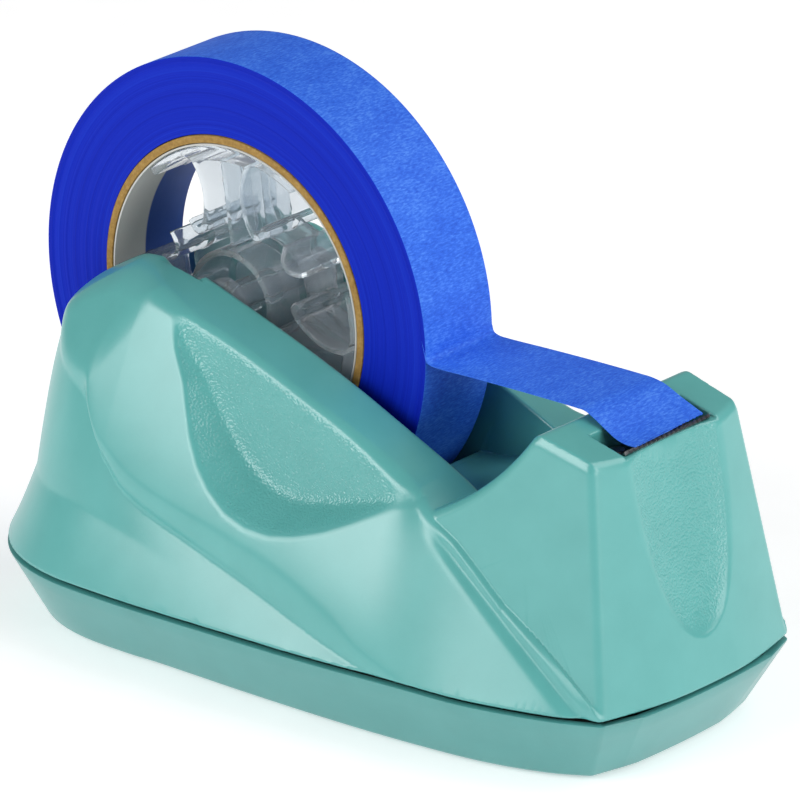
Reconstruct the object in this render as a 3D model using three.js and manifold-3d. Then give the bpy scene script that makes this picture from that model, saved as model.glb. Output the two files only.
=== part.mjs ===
// Weighted desk tape dispenser with a 3-inch core roll of 24 mm masking tape.
// Millimetres. +X points to the cutter, +Y to the far side wall, +Z up.
// Design heights are measured from the underside of the base tray; the feet stand below that.

import * as THREE from 'three';
import Module from 'manifold-3d';
import { mergeVertices } from 'three/addons/utils/BufferGeometryUtils.js';
import { ConvexGeometry } from 'three/addons/geometries/ConvexGeometry.js';

const wasm = await Module();
wasm.setup();

// ---- driving dimensions ----
const GAP = 0.3;                    // clearance kept between neighbouring pieces
const WALL = 2.5;                   // moulded wall thickness of shell and tray
const INNER_WALL = 2;               // the same round the slot, the notch and the scoop

const SILL_Z = 17.3;                // joint line between shell and tray
const REAR_X = -98;                 // rear end of the shell at the joint line
const FRONT_X = 98;                 // front end of the shell at the joint line
const REAR_ROUND_X = -45;           // where the rounded rear end begins
const REAR_POWER = 2.6;             // superellipse power of the rear end in plan
const HUMP_TOP_Z = 91;
const SIDE_HALF_WIDTH = 54.1;       // half width of the shell at its widest
const SHOULDER_HALF_WIDTH = 30;     // half width at the outer edge of the flat wall top
const RIDGE_HALF_WIDTH = 33;        // the same beside the head
const SIDE_BULGE = 0.085;           // outward belly of the side, as a part of its inward lean

const AXLE_X = -38.2;
const AXLE_Z = 81.3;
const WELL_HALF_WIDTH = 17;
const WELL_RADIUS = 61.3;           // floor of the well, round the axle
const WELL_SILL_Z = 40;             // lower edge of the open slot at the rear
const WELL_MARGIN = 3;              // width of the flat wall top inside the well's outline
const RIM_ARC = { x: 10, z: 114, radius: 66 };   // concave rear face of the head

const HEAD_LEAN_X = 0.089;          // inward lean of the head's side per mm of length
const HEAD_LEAN_Z = 0.15;           // and per mm of height
const HEAD_TOP = { x: 66.4, y: 27.3, z: 80.1 };  // rear top corner of the head
const HEAD_FRONT = { x: 83.1, y: 26.2, z: 76.2 };   // front top corner of the head
const HEAD_CHAMFER = { x: 86.4, y: 17, z: 75.4 };   // top of the soft corner beside the front face
const FRONT_TOP = { x: 87.2, z: 75.2 };             // top of the front face, in the middle
const HEAD_ROOT = { x: 43, z: 57 };                 // where the head grows out of the side walls
const HEAD_REAR_X = 36;
const HEAD_MIDDLE_X = 68;
const CORNER_SIDE = { x: 93.2, y: 34 };             // side end of the soft corner at the joint line
const CORNER_FRONT = { x: 96.9, y: 20 };            // its front end

const NOTCH = { halfWidth: 16.3, rearX: 73.9, frontX: 82.2, floorZ: 66, lipX: 80, lipZ: 73.4 };
const ABOVE = 95;                   // a height clear above the shell, for cuts that open upwards
const CLEAR_Y = 60;                 // a half width clear of the shell, for cuts that run right across
const SCOOP = { halfWidth: 17.4, length: 45, depth: 3.7, lift: 0.4 };

const SLOT_ANGLE = THREE.MathUtils.degToRad(35); // rise of the axle slot towards the rear
const SLOT_WIDTH = 5;
const SLOT_LENGTH = 26;
const SLOT_DEPTH = 2.2;                          // how far the slot runs into the wall

const AXLE = { radius: 2.2, halfLength: 18.7 };
const SHOULDER = { radius: 6.2, inner: 13.4, outer: 16.6 };
const DRUM = { radius: 12.7, wall: 1.6, halfLength: 13, tube: 4.2, bore: 2.5, web: 1 };
const ADAPTER = { sleeve: 14.6, padInner: 35.4, padOuter: 37.4, halfWidth: 11.6 };
const SPOKE_COUNT = 3;
const SPOKE_START = THREE.MathUtils.degToRad(98);
const CORE = { inner: 38.4, outer: 40.3, halfWidth: 12.2 };
const LINER = { inner: 37.7, outer: 38.2, halfWidth: 12 };
const ROLL = { inner: 40.5, outer: 59.3, halfWidth: 12 };
const TAIL_THICKNESS = 0.3;

const FOOT = { radius: 7, proud: 0.6, depth: 1 };
const FOOT_PLACES = [[-66, 24], [66, 21]];
const SCREW_PLACES = [[-42, 34], [50, 23]];
const SCREW = { shaft: 1.5, head: 3, headHeight: 2, sunk: 1, top: 27 };
const BOSS = { radius: 4.2, top: 78 };
const TRAY_REAR = { x: -89, y: 44.9 };           // underside of the tray at its rear and widest
const TRAY_CORNER_SIDE_X = 84.7;                 // underside: side end of the soft front corner
const TRAY_CORNER_FRONT = { x: 86.9, y: 19.1 };  // its front end
const TRAY_FRONT_X = 88.3;

// ---- materials ----
const plastic = (color, roughness) => new THREE.MeshStandardMaterial({ color, roughness, metalness: 0 });
const metal = (color, roughness) => new THREE.MeshStandardMaterial({ color, roughness, metalness: 1 });
const tealPlastic = () => plastic(0x6fbbb8, 0.42);
const clearPlastic = () => plastic(0xdfe9ee, 0.08);

// ---- solids ----
function solid(geometry) {
  let plain = geometry.index ? geometry.toNonIndexed() : geometry.clone();
  plain.deleteAttribute('normal');
  plain.deleteAttribute('uv');
  plain = mergeVertices(plain, 1e-4);
  const triVerts = Uint32Array.from(plain.index.array);
  const vertProperties = Float32Array.from(plain.attributes.position.array);
  return new wasm.Manifold(new wasm.Mesh({ numProp: 3, vertProperties, triVerts }));
}

function geometryOf(manifold) {
  const mesh = manifold.getMesh();
  const geometry = new THREE.BufferGeometry();
  geometry.setAttribute('position', new THREE.BufferAttribute(mesh.vertProperties, 3));
  geometry.setIndex(new THREE.BufferAttribute(mesh.triVerts, 1));
  geometry.computeVertexNormals();
  return geometry;
}

function piece(name, shape, material) {
  const geometry = shape instanceof THREE.BufferGeometry ? shape : geometryOf(shape);
  const mesh = new THREE.Mesh(geometry, material);
  mesh.name = name;
  return mesh;
}

function box(low, high) {
  const size = high.map((value, axis) => value - low[axis]);
  const middle = high.map((value, axis) => (value + low[axis]) / 2);
  return solid(new THREE.BoxGeometry(...size).translate(...middle));
}

// A cylinder along Y, like the axle.
function drumAlongY(radius, low, high, x, z, segments = 48) {
  const geometry = new THREE.CylinderGeometry(radius, radius, high - low, segments);
  return solid(geometry.translate(x, (low + high) / 2, z));
}

function post(radius, low, high, x, y, segments = 16) {
  const geometry = new THREE.CylinderGeometry(radius, radius, high - low, segments);
  return solid(geometry.rotateX(Math.PI / 2).translate(x, y, (low + high) / 2));
}

// An outline in the XZ plane, carried through the thickness from -halfWidth to +halfWidth.
function sideExtrusion(outline, halfWidth) {
  const shape = outline instanceof THREE.Shape ? outline : new THREE.Shape(outline);
  const options = { depth: 2 * halfWidth, bevelEnabled: false, curveSegments: 24 };
  const geometry = new THREE.ExtrudeGeometry(shape, options);
  return geometry.translate(0, 0, -halfWidth).rotateX(Math.PI / 2);
}

// A ring round the Y axis at the axle, from its half profile [radius, y].
function ringOnAxle(profile, segments = 96) {
  const points = profile.map(([radius, y]) => new THREE.Vector2(radius, y));
  const geometry = new THREE.LatheGeometry([...points, points[0]], segments);
  return geometry.translate(AXLE_X, 0, AXLE_Z);
}

// Rings of equal point count, lowest first, skinned and capped at both ends.
function loft(rings) {
  const count = rings[0].length;
  const positions = rings.flat().flatMap((point) => [point.x, point.y, point.z]);
  const index = [];
  for (let level = 0; level + 1 < rings.length; level += 1) {
    for (let i = 0; i < count; i += 1) {
      const next = (i + 1) % count;
      const low = level * count;
      const high = low + count;
      index.push(low + i, low + next, high + next, low + i, high + next, high + i);
    }
  }
  const cap = (ring) => THREE.ShapeUtils.triangulateShape(ring.map((p) => new THREE.Vector2(p.x, p.y)), []);
  const top = (rings.length - 1) * count;
  for (const [a, b, c] of cap(rings[0])) {
    index.push(a, c, b);
  }
  for (const [a, b, c] of cap(rings[rings.length - 1])) {
    index.push(top + a, top + b, top + c);
  }
  const geometry = new THREE.BufferGeometry();
  geometry.setAttribute('position', new THREE.Float32BufferAttribute(positions, 3));
  geometry.setIndex(index);
  return geometry;
}

// A smooth single-valued curve through [t, value] points.
function curveThrough(points) {
  const slope = (i) => {
    const a = points[Math.max(i - 1, 0)];
    const b = points[Math.min(i + 1, points.length - 1)];
    return (b[1] - a[1]) / (b[0] - a[0]);
  };
  return (t) => {
    const last = points.length - 1;
    if (t <= points[0][0]) return points[0][1];
    if (t >= points[last][0]) return points[last][1];
    const i = points.findIndex((point) => point[0] > t) - 1;
    const span = points[i + 1][0] - points[i][0];
    const u = (t - points[i][0]) / span;
    const rise = (3 - 2 * u) * u * u;
    const start = u * (1 - u) * (1 - u) * span * slope(i);
    const end = -u * u * (1 - u) * span * slope(i + 1);
    return points[i][1] + (points[i + 1][1] - points[i][1]) * rise + start + end;
  };
}

const smoothStep = THREE.MathUtils.smoothstep;

// ---- body form ----
const sillHalfWidth = curveThrough([
  [-45, SIDE_HALF_WIDTH], [-12, 52.6], [18, 50.5], [44, 47.5], [58.6, 46], [71, 43], [83, 39], [93.2, 34],
]);
const rearX = curveThrough([
  [SILL_Z, REAR_X], [28, -94.6], [45, -91], [61, -87.4], [73.3, -83.2], [80, -78.2],
  [85.5, -71], [HUMP_TOP_Z, -62],
]);
const shoulderZ = curveThrough([[-45, 87.2], [-17.5, 76.3], [12, 67], [30, 60], [43, 55.5], [92, 19.2]]);
const wallTopZ = curveThrough([[-48, 89.6], [-38, 87], [-13, 79.2], [12, 69.8], [42, 56.9], [92, 20]]);

function sideHalfWidth(x, rise) {
  const sill = sillHalfWidth(x);
  const ridge = smoothStep(x, 28, 44);
  const shoulder = THREE.MathUtils.lerp(SHOULDER_HALF_WIDTH, RIDGE_HALF_WIDTH, ridge);
  const bulge = SIDE_BULGE * (1 - ridge) * 4 * rise * (1 - rise);
  return sill + (shoulder - sill) * (rise - bulge);
}

const BODY_END_X = 92.5;            // front end of the hump's outline, inside the head
const SIDE_STEPS = 11;

// Angles round the rear end of an outline, from its rearmost point to its side, as [along, across].
const REAR_STEPS = 9;
const rearArc = Array.from({ length: REAR_STEPS + 1 }, (unused, i) => {
  const angle = (Math.PI / 2) * (i / REAR_STEPS);
  const across = i === 0 ? 0 : Math.sin(angle) ** (2 / REAR_POWER);
  return [i === REAR_STEPS ? 0 : Math.cos(angle) ** (2 / REAR_POWER), across];
});

function mirrorRing(half, closesInFront) {
  const near = half.map(([x, y, z]) => new THREE.Vector3(x, -y, z));
  const mirrored = closesInFront ? half.slice(1, -1) : half.slice(1);
  return [...near, ...mirrored.reverse().map(([x, y, z]) => new THREE.Vector3(x, y, z))];
}

// Outline of the hump part of the way up, from the joint line (0) to the edge of the wall top (1).
function bodyRing(rise, inset) {
  const base = inset > 0 ? SILL_Z - 1 : SILL_Z + GAP;
  const heightAt = (x) => THREE.MathUtils.lerp(base, shoulderZ(x) - inset, rise);
  const rearZ = heightAt(REAR_ROUND_X);
  const length = rearX(rearZ) + inset - REAR_ROUND_X;
  const width = sideHalfWidth(REAR_ROUND_X, rise) - inset;
  const half = rearArc.map(([along, across]) => [REAR_ROUND_X + length * along, width * across, rearZ]);
  for (let i = 1; i <= SIDE_STEPS; i += 1) {
    const x = THREE.MathUtils.lerp(REAR_ROUND_X, BODY_END_X - inset, i / SIDE_STEPS);
    half.push([x, sideHalfWidth(x, rise) - inset, heightAt(x)]);
  }
  return mirrorRing(half, false);
}

// Outline just inside the well, on the flat tops of the two walls.
function wallTopRing(inset) {
  const width = WELL_HALF_WIDTH - WELL_MARGIN;
  const topZ = HUMP_TOP_Z - inset;
  const length = rearX(topZ) - REAR_ROUND_X;
  const half = rearArc.map(([along, across]) => [REAR_ROUND_X + length * along, width * across, topZ]);
  for (let i = 1; i <= SIDE_STEPS; i += 1) {
    const x = THREE.MathUtils.lerp(REAR_ROUND_X, BODY_END_X - inset, i / SIDE_STEPS);
    half.push([x, width, wallTopZ(x) - inset]);
  }
  return mirrorRing(half, false);
}

function humpBlock(inset) {
  const rises = [0, 0.07, 0.17, 0.3, 0.45, 0.6, 0.75, 0.88, 1];
  const rings = rises.map((rise) => bodyRing(rise, inset));
  return solid(loft([...rings, wallTopRing(inset)]));
}

const headSideY = (x, z) => HEAD_TOP.y - HEAD_LEAN_X * (x - HEAD_TOP.x) - HEAD_LEAN_Z * (z - HEAD_TOP.z);

function headBlock(inset) {
  const bottom = inset > 0 ? SILL_Z - 1 : SILL_Z + GAP;
  const half = [
    [HEAD_TOP.x, HEAD_TOP.y, HEAD_TOP.z], [HEAD_FRONT.x, HEAD_FRONT.y, HEAD_FRONT.z],
    [HEAD_CHAMFER.x, HEAD_CHAMFER.y, HEAD_CHAMFER.z], [FRONT_TOP.x, 0, FRONT_TOP.z],
    [HEAD_ROOT.x, headSideY(HEAD_ROOT.x, HEAD_ROOT.z), HEAD_ROOT.z],
    [HEAD_REAR_X, headSideY(HEAD_REAR_X, bottom), bottom], [CORNER_SIDE.x, CORNER_SIDE.y, bottom],
    [CORNER_FRONT.x, CORNER_FRONT.y, bottom], [FRONT_X, 0, bottom],
  ];
  const corners = half.flatMap(([x, y, z]) => [new THREE.Vector3(x, y, z), new THREE.Vector3(x, -y, z)]);
  const block = new ConvexGeometry(corners);
  if (inset > 0) {
    const reach = new THREE.Vector3(FRONT_X - HEAD_MIDDLE_X, HEAD_TOP.y, HEAD_TOP.z - bottom);
    const shrink = (size) => 1 - inset / size;
    block.translate(-HEAD_MIDDLE_X, 0, -bottom);
    block.scale(shrink(reach.x), shrink(reach.y), shrink(reach.z));
    block.translate(HEAD_MIDDLE_X, 0, bottom);
  }
  const rim = drumAlongY(RIM_ARC.radius + inset, -CLEAR_Y, CLEAR_Y, RIM_ARC.x, RIM_ARC.z, 96);
  return solid(block).subtract(rim);
}

const CUT_REAR_X = -110;            // the well's cutter ends clear behind and clear above the shell
const CUT_TOP_Z = 150;

// Side outline of the space the roll sits in, with its walls moved out by spread.
function wellOutline(spread) {
  const floorRadius = WELL_RADIUS + spread;
  const rimRadius = RIM_ARC.radius + spread;
  const sillZ = WELL_SILL_Z - spread;
  const span = Math.hypot(RIM_ARC.x - AXLE_X, RIM_ARC.z - AXLE_Z);
  const along = (floorRadius ** 2 - rimRadius ** 2 + span ** 2) / (2 * span);
  const across = Math.sqrt(floorRadius ** 2 - along ** 2);
  const unitX = (RIM_ARC.x - AXLE_X) / span;
  const unitZ = (RIM_ARC.z - AXLE_Z) / span;
  const crestX = AXLE_X + along * unitX + across * unitZ;
  const crestZ = AXLE_Z + along * unitZ - across * unitX;
  const rear = Math.PI + Math.asin((AXLE_Z - sillZ) / floorRadius);
  const floorEnd = Math.atan2(crestZ - AXLE_Z, crestX - AXLE_X);
  const rimStart = Math.atan2(crestZ - RIM_ARC.z, crestX - RIM_ARC.x);
  const rimEnd = Math.asin((HEAD_TOP.z + WALL - RIM_ARC.z) / rimRadius);
  const outline = new THREE.Shape();
  outline.moveTo(CUT_REAR_X, CUT_TOP_Z);
  outline.lineTo(CUT_REAR_X, sillZ);
  outline.absarc(AXLE_X, AXLE_Z, floorRadius, rear - 2 * Math.PI, floorEnd, false);
  outline.absarc(RIM_ARC.x, RIM_ARC.z, rimRadius, rimStart, rimEnd, false);
  outline.lineTo(RIM_ARC.x + rimRadius * Math.cos(rimEnd), CUT_TOP_Z);
  return outline;
}

const well = (spread) => solid(sideExtrusion(wellOutline(spread), WELL_HALF_WIDTH + spread));

// The axle's slot: a slanted channel from the wall top down to the axle, cut into both walls.
function axleSlot(spread) {
  const width = SLOT_WIDTH / 2 + spread;
  const reach = WELL_HALF_WIDTH + SLOT_DEPTH + spread;
  const channel = new THREE.BoxGeometry(SLOT_LENGTH, 2 * reach, 2 * width);
  channel.translate(-SLOT_LENGTH / 2, 0, 0).rotateY(SLOT_ANGLE).translate(AXLE_X, 0, AXLE_Z);
  return solid(channel).add(drumAlongY(width, -reach, reach, AXLE_X, AXLE_Z, 32));
}

function notch(spread) {
  const side = NOTCH.halfWidth + spread;
  const low = [NOTCH.rearX - spread, -side, NOTCH.floorZ - spread];
  const pocket = box(low, [NOTCH.frontX + spread, side, ABOVE]);
  const lip = box([NOTCH.lipX, -side, NOTCH.lipZ - spread], [FRONT_X, side, ABOVE]);
  return pocket.add(lip);
}

// The thumb scoop below the blade, half an ellipsoid laid on the sloping front face.
function scoop(spread) {
  const lean = Math.atan2(FRONT_X - FRONT_TOP.x, FRONT_TOP.z - SILL_Z);
  const form = new THREE.SphereGeometry(1, 40, 24);
  form.scale(SCOOP.depth + spread, SCOOP.halfWidth + spread, SCOOP.length + spread);
  form.rotateY(-lean).translate(FRONT_TOP.x, 0, FRONT_TOP.z + SCOOP.lift);
  return solid(form);
}

// Calls make at each place and at its mirror image across the XZ plane.
const onBothSides = (places, make) => places.flatMap(([x, y]) => [-1, 1].map((side) => make(x, side * y)));
const eachScrew = (make) => onBothSides(SCREW_PLACES, make);

function bodyShell() {
  const outer = humpBlock(0).add(headBlock(0));
  let hollow = humpBlock(WALL).add(headBlock(WALL));
  for (const cut of [well(WALL), axleSlot(INNER_WALL), notch(INNER_WALL), scoop(INNER_WALL)]) {
    hollow = hollow.subtract(cut);
  }
  let shell = outer.subtract(hollow).subtract(well(0)).subtract(axleSlot(0));
  shell = shell.subtract(notch(0)).subtract(scoop(0));
  for (const boss of eachScrew((x, y) => post(BOSS.radius, SILL_Z + GAP, BOSS.top, x, y))) {
    shell = shell.add(boss.intersect(outer).subtract(well(0)).subtract(notch(0)));
  }
  for (const pilot of eachScrew((x, y) => post(SCREW.shaft + GAP, SILL_Z - 5, SCREW.top + 1, x, y))) {
    shell = shell.subtract(pilot);
  }
  return shell;
}

// ---- base tray ----
const trayHalfWidth = curveThrough([
  [-42, 44.8], [-35.4, 44.3], [-4, 43.7], [26.4, 42.2], [52.5, 39.3], [65.5, 36.5], [77, 32.2], [84.7, 27.6],
]);

function trayRing(z, inset) {
  const rise = z / SILL_Z;
  const lerp = THREE.MathUtils.lerp;
  const length = lerp(TRAY_REAR.x, REAR_X, rise) + inset - REAR_ROUND_X;
  const width = lerp(TRAY_REAR.y, SIDE_HALF_WIDTH, rise) - inset;
  const half = rearArc.map(([along, across]) => [REAR_ROUND_X + length * along, width * across, z]);
  for (let i = 1; i <= SIDE_STEPS; i += 1) {
    const part = i / SIDE_STEPS;
    const lowX = lerp(REAR_ROUND_X, TRAY_CORNER_SIDE_X, part);
    const highX = lerp(REAR_ROUND_X, CORNER_SIDE.x, part);
    const y = lerp(trayHalfWidth(lowX), sillHalfWidth(highX), rise) - inset;
    half.push([lerp(lowX, highX, rise) - inset * part, y, z]);
  }
  const cornerX = lerp(TRAY_CORNER_FRONT.x, CORNER_FRONT.x, rise) - inset;
  half.push([cornerX, lerp(TRAY_CORNER_FRONT.y, CORNER_FRONT.y, rise) - inset, z]);
  half.push([lerp(TRAY_FRONT_X, FRONT_X, rise) - inset, 0, z]);
  return mirrorRing(half, true);
}

const trayBlock = (low, high, inset) => solid(loft([low, high].map((z) => trayRing(z, inset))));

function baseTray() {
  const rimTop = SILL_Z - GAP;
  let tray = trayBlock(0, rimTop, 0).subtract(trayBlock(WALL, rimTop + 1, WALL));
  for (const column of eachScrew((x, y) => post(BOSS.radius, WALL - 0.5, SILL_Z - GAP, x, y))) {
    tray = tray.add(column);
  }
  for (const hole of eachScrew((x, y) => post(SCREW.shaft + GAP, -1, SILL_Z + 1, x, y))) {
    tray = tray.subtract(hole);
  }
  for (const recess of eachScrew((x, y) => post(SCREW.head + GAP, -1, SCREW.headHeight + SCREW.sunk, x, y))) {
    tray = tray.subtract(recess);
  }
  for (const seat of onBothSides(FOOT_PLACES, (x, y) => post(FOOT.radius + GAP, -1, FOOT.depth, x, y, 32))) {
    tray = tray.subtract(seat);
  }
  return tray;
}

const footPad = (x, y) => post(FOOT.radius, -FOOT.proud, FOOT.depth - GAP / 3, x, y, 32);

function trayScrew(x, y) {
  const head = post(SCREW.head, SCREW.sunk, SCREW.sunk + SCREW.headHeight - GAP, x, y);
  return head.add(post(SCREW.shaft, SCREW.sunk + SCREW.headHeight / 2, SCREW.top, x, y, 16));
}

// ---- ballast: cast blocks that give the dispenser its weight ----
const BALLAST = { rearTop: 14.5, rearEndX: 40, inset: WALL + 4, frontLow: [42, -24], frontHigh: [84, 24] };
const BALLAST_FRONT_TOP = 48;
const BALLAST_RIM_MARGIN = 14;      // distance kept from the concave rear face of the head
const BOSS_MARGIN = 1;

function ballastRear() {
  const half = box([CUT_REAR_X, -CLEAR_Y, 0], [BALLAST.rearEndX, CLEAR_Y, BALLAST_FRONT_TOP]);
  let block = trayBlock(WALL + GAP, BALLAST.rearTop, BALLAST.inset).intersect(half);
  for (const way of eachScrew((x, y) => post(BOSS.radius + BOSS_MARGIN, 0, BOSS.top, x, y))) {
    block = block.subtract(way);
  }
  return block;
}

function ballastFront() {
  let block = box([...BALLAST.frontLow, WALL + GAP], [...BALLAST.frontHigh, BALLAST_FRONT_TOP]);
  const rim = RIM_ARC.radius + BALLAST_RIM_MARGIN;
  block = block.subtract(drumAlongY(rim, -CLEAR_Y, CLEAR_Y, RIM_ARC.x, RIM_ARC.z, 64));
  for (const way of eachScrew((x, y) => post(BOSS.radius + BOSS_MARGIN, 0, BOSS.top, x, y))) {
    block = block.subtract(way);
  }
  return block;
}

// ---- cutter ----
const HOLDER = { halfWidth: 15.8, rearX: 74.3, frontX: 81.8, topZ: 72 };
const BLADE = { thickness: 0.8, halfWidth: 15.2, toothPitch: 1.6, toothDepth: 1.1 };
const FLANGE = { rearX: 75.2, frontX: 81.2 };    // the blade's flat part, on the holder
const BLADE_FOOT = { x: 80.6, run: 3.8, rise: 3.7 };   // where the toothed front starts, and its slope
const BLADE_SCREW = { x: 77.6, y: 11, shaft: 1, hole: 1.3, head: 1.9, headHeight: 0.9, depth: 3.5 };

function bladeHolder() {
  const { halfWidth, rearX: back, frontX, topZ } = HOLDER;
  let block = box([back, -halfWidth, NOTCH.floorZ + GAP], [frontX, halfWidth, topZ]);
  for (const side of [-1, 1]) {
    const low = topZ - BLADE_SCREW.depth - GAP;
    block = block.subtract(post(BLADE_SCREW.hole, low, topZ + 1, BLADE_SCREW.x, side * BLADE_SCREW.y));
  }
  return block;
}

// Folded steel strip: a flange screwed to the holder and a toothed front rising to the cutting line.
function cutterBlade() {
  const lowZ = HOLDER.topZ + GAP;
  const slant = Math.hypot(BLADE_FOOT.rise, BLADE_FOOT.run);
  const outline = new THREE.Shape();
  outline.moveTo(-BLADE.halfWidth, 0);
  outline.lineTo(BLADE.halfWidth, 0);
  const teeth = Math.round((2 * BLADE.halfWidth) / BLADE.toothPitch);
  const pitch = (2 * BLADE.halfWidth) / teeth;
  outline.lineTo(BLADE.halfWidth, slant - BLADE.toothDepth);
  for (let i = 0; i < teeth; i += 1) {
    const y = BLADE.halfWidth - i * pitch;
    outline.lineTo(y - pitch / 2, slant);
    outline.lineTo(y - pitch, slant - BLADE.toothDepth);
  }
  const strip = new THREE.ExtrudeGeometry(outline, { depth: BLADE.thickness, bevelEnabled: false });
  strip.rotateX(Math.PI / 2).rotateZ(-Math.PI / 2);
  strip.rotateY(Math.atan2(BLADE_FOOT.run, BLADE_FOOT.rise)).translate(BLADE_FOOT.x, 0, lowZ + GAP);
  const flangeTop = lowZ + BLADE.thickness;
  const flange = box([FLANGE.rearX, -BLADE.halfWidth, lowZ], [FLANGE.frontX, BLADE.halfWidth, flangeTop]);
  let blade = solid(strip).add(flange);
  for (const side of [-1, 1]) {
    const hole = post(BLADE_SCREW.hole, lowZ - 1, flangeTop + 1, BLADE_SCREW.x, side * BLADE_SCREW.y);
    blade = blade.subtract(hole);
  }
  return blade;
}

function bladeScrew(side) {
  const seat = HOLDER.topZ + 2 * GAP + BLADE.thickness;
  const { x, y, shaft, head, headHeight, depth } = BLADE_SCREW;
  const top = post(head, seat, seat + headHeight, x, side * y);
  return top.add(post(shaft, HOLDER.topZ - depth, seat + headHeight / 2, x, side * y, 16));
}

// ---- axle and hub ----
const axlePin = () => drumAlongY(AXLE.radius, -AXLE.halfLength, AXLE.halfLength, AXLE_X, AXLE_Z, 32);

function axleShoulder(side) {
  const { inner, outer, radius } = SHOULDER;
  const bore = AXLE.radius + 0.1;
  const low = side > 0 ? inner : -outer;
  const high = side > 0 ? outer : -inner;
  return ringOnAxle([[bore, low], [radius, low], [radius, high], [bore, high]], 32);
}

function hubDrum() {
  const { radius, wall, halfLength: end, tube, bore, web } = DRUM;
  const inside = radius - wall;
  return ringOnAxle([
    [bore, -end], [tube, -end], [tube, -web], [inside, -web], [inside, -end], [radius, -end],
    [radius, end], [inside, end], [inside, web], [tube, web], [tube, end], [bore, end],
  ], 40);
}

// One waisted spoke pointing along +X from the hub's centre, its root in the sleeve and its end in the pad.
function spokeOutline() {
  const polar = (radius, degrees) => {
    const angle = THREE.MathUtils.degToRad(degrees);
    return new THREE.Vector2(radius * Math.cos(angle), radius * Math.sin(angle));
  };
  const flank = [
    polar(13.6, 46), polar(17, 30), polar(22, 17), polar(28, 14), polar(33, 20), polar(35.8, 31),
  ];
  const upper = new THREE.SplineCurve(flank).getPoints(12);
  const lower = upper.map((point) => new THREE.Vector2(point.x, -point.y));
  const root = [30, 10, -10, -30].map((degrees) => polar(13.4, degrees));
  const end = [-24, -12, 0, 12, 24].map((degrees) => polar(36, degrees));
  return [...lower, ...end, ...upper.reverse(), ...root];
}

function coreAdapter() {
  const { sleeve, padInner, padOuter, halfWidth } = ADAPTER;
  const sleeveBore = DRUM.radius + 0.15;
  const ring = (inner, outer) => solid(ringOnAxle([
    [inner, -halfWidth], [outer, -halfWidth], [outer, halfWidth], [inner, halfWidth],
  ], 72));
  let adapter = ring(sleeveBore, sleeve);
  const padRing = ring(padInner, padOuter);
  for (let i = 0; i < SPOKE_COUNT; i += 1) {
    const turn = SPOKE_START + (i * 2 * Math.PI) / SPOKE_COUNT;
    const place = (geometry) => solid(geometry.rotateY(-turn).translate(AXLE_X, 0, AXLE_Z));
    const wedge = [[0, 0], [60, -46], [60, 46]].map(([x, z]) => new THREE.Vector2(x, z));
    const pad = padRing.intersect(place(sideExtrusion(wedge, halfWidth + 1)));
    const bore = drumAlongY(sleeveBore, -30, 30, AXLE_X, AXLE_Z, 72);
    adapter = adapter.add(pad).add(place(sideExtrusion(spokeOutline(), halfWidth - 2)).subtract(bore));
  }
  return adapter;
}

const plainRing = ({ inner, outer, halfWidth }) => ringOnAxle([
  [inner, -halfWidth], [outer, -halfWidth], [outer, halfWidth], [inner, halfWidth],
]);

// ---- free end of the tape, from where it peels off the roll to the blade ----
function tapeTail() {
  const path = new THREE.CatmullRomCurve3([
    [21.6, 83.6], [22.3, 81.5], [24.4, 80.9], [40, 81.3], [58, 82], [67, 82.5], [71, 81.6],
    [76, 79.1], [80.5, 77.5], [83.9, 77.1],
  ].map(([x, z]) => new THREE.Vector3(x, 0, z)), false, 'centripetal');
  const section = path.getPoints(44);
  const upper = section.map((p) => new THREE.Vector2(p.x, p.z + TAIL_THICKNESS));
  const lower = section.map((p) => new THREE.Vector2(p.x, p.z)).reverse();
  upper[0].x += TAIL_THICKNESS;
  return sideExtrusion([...upper, ...lower], ROLL.halfWidth);
}

// ---- assembly ----
const dispenser = new THREE.Group();
const base = new THREE.Group();
base.position.z = FOOT.proud;
dispenser.add(base);

base.add(piece('body_shell', bodyShell(), tealPlastic()));
base.add(piece('base_tray', baseTray(), tealPlastic()));
base.add(piece('ballast_rear', ballastRear(), plastic(0x8b8b86, 0.9)));
base.add(piece('ballast_front', ballastFront(), plastic(0x8b8b86, 0.9)));
onBothSides(FOOT_PLACES, footPad).forEach((pad, i) => {
  base.add(piece(`foot_${i + 1}`, pad, plastic(0x2b2c2d, 0.9)));
});
eachScrew(trayScrew).forEach((screw, i) => {
  base.add(piece(`tray_screw_${i + 1}`, screw, metal(0xa8a8a8, 0.35)));
});

base.add(piece('blade_holder', bladeHolder(), plastic(0x2e3133, 0.5)));
base.add(piece('cutter_blade', cutterBlade(), metal(0x6f7274, 0.3)));
base.add(piece('blade_screw_near', bladeScrew(-1), metal(0xb4b4b4, 0.3)));
base.add(piece('blade_screw_far', bladeScrew(1), metal(0xb4b4b4, 0.3)));

base.add(piece('axle', axlePin(), clearPlastic()));
base.add(piece('axle_shoulder_near', axleShoulder(-1), clearPlastic()));
base.add(piece('axle_shoulder_far', axleShoulder(1), clearPlastic()));
base.add(piece('hub_drum', hubDrum(), clearPlastic()));
base.add(piece('core_adapter', coreAdapter(), clearPlastic()));
base.add(piece('cardboard_core', plainRing(CORE), plastic(0xa98556, 0.85)));
base.add(piece('core_liner', plainRing(LINER), plastic(0xb9bcc4, 0.6)));
base.add(piece('tape_roll', plainRing(ROLL), plastic(0x2440c8, 0.7)));
base.add(piece('tape_tail', tapeTail(), plastic(0x3868d0, 0.7)));

export default dispenser;
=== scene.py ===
import math

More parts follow.
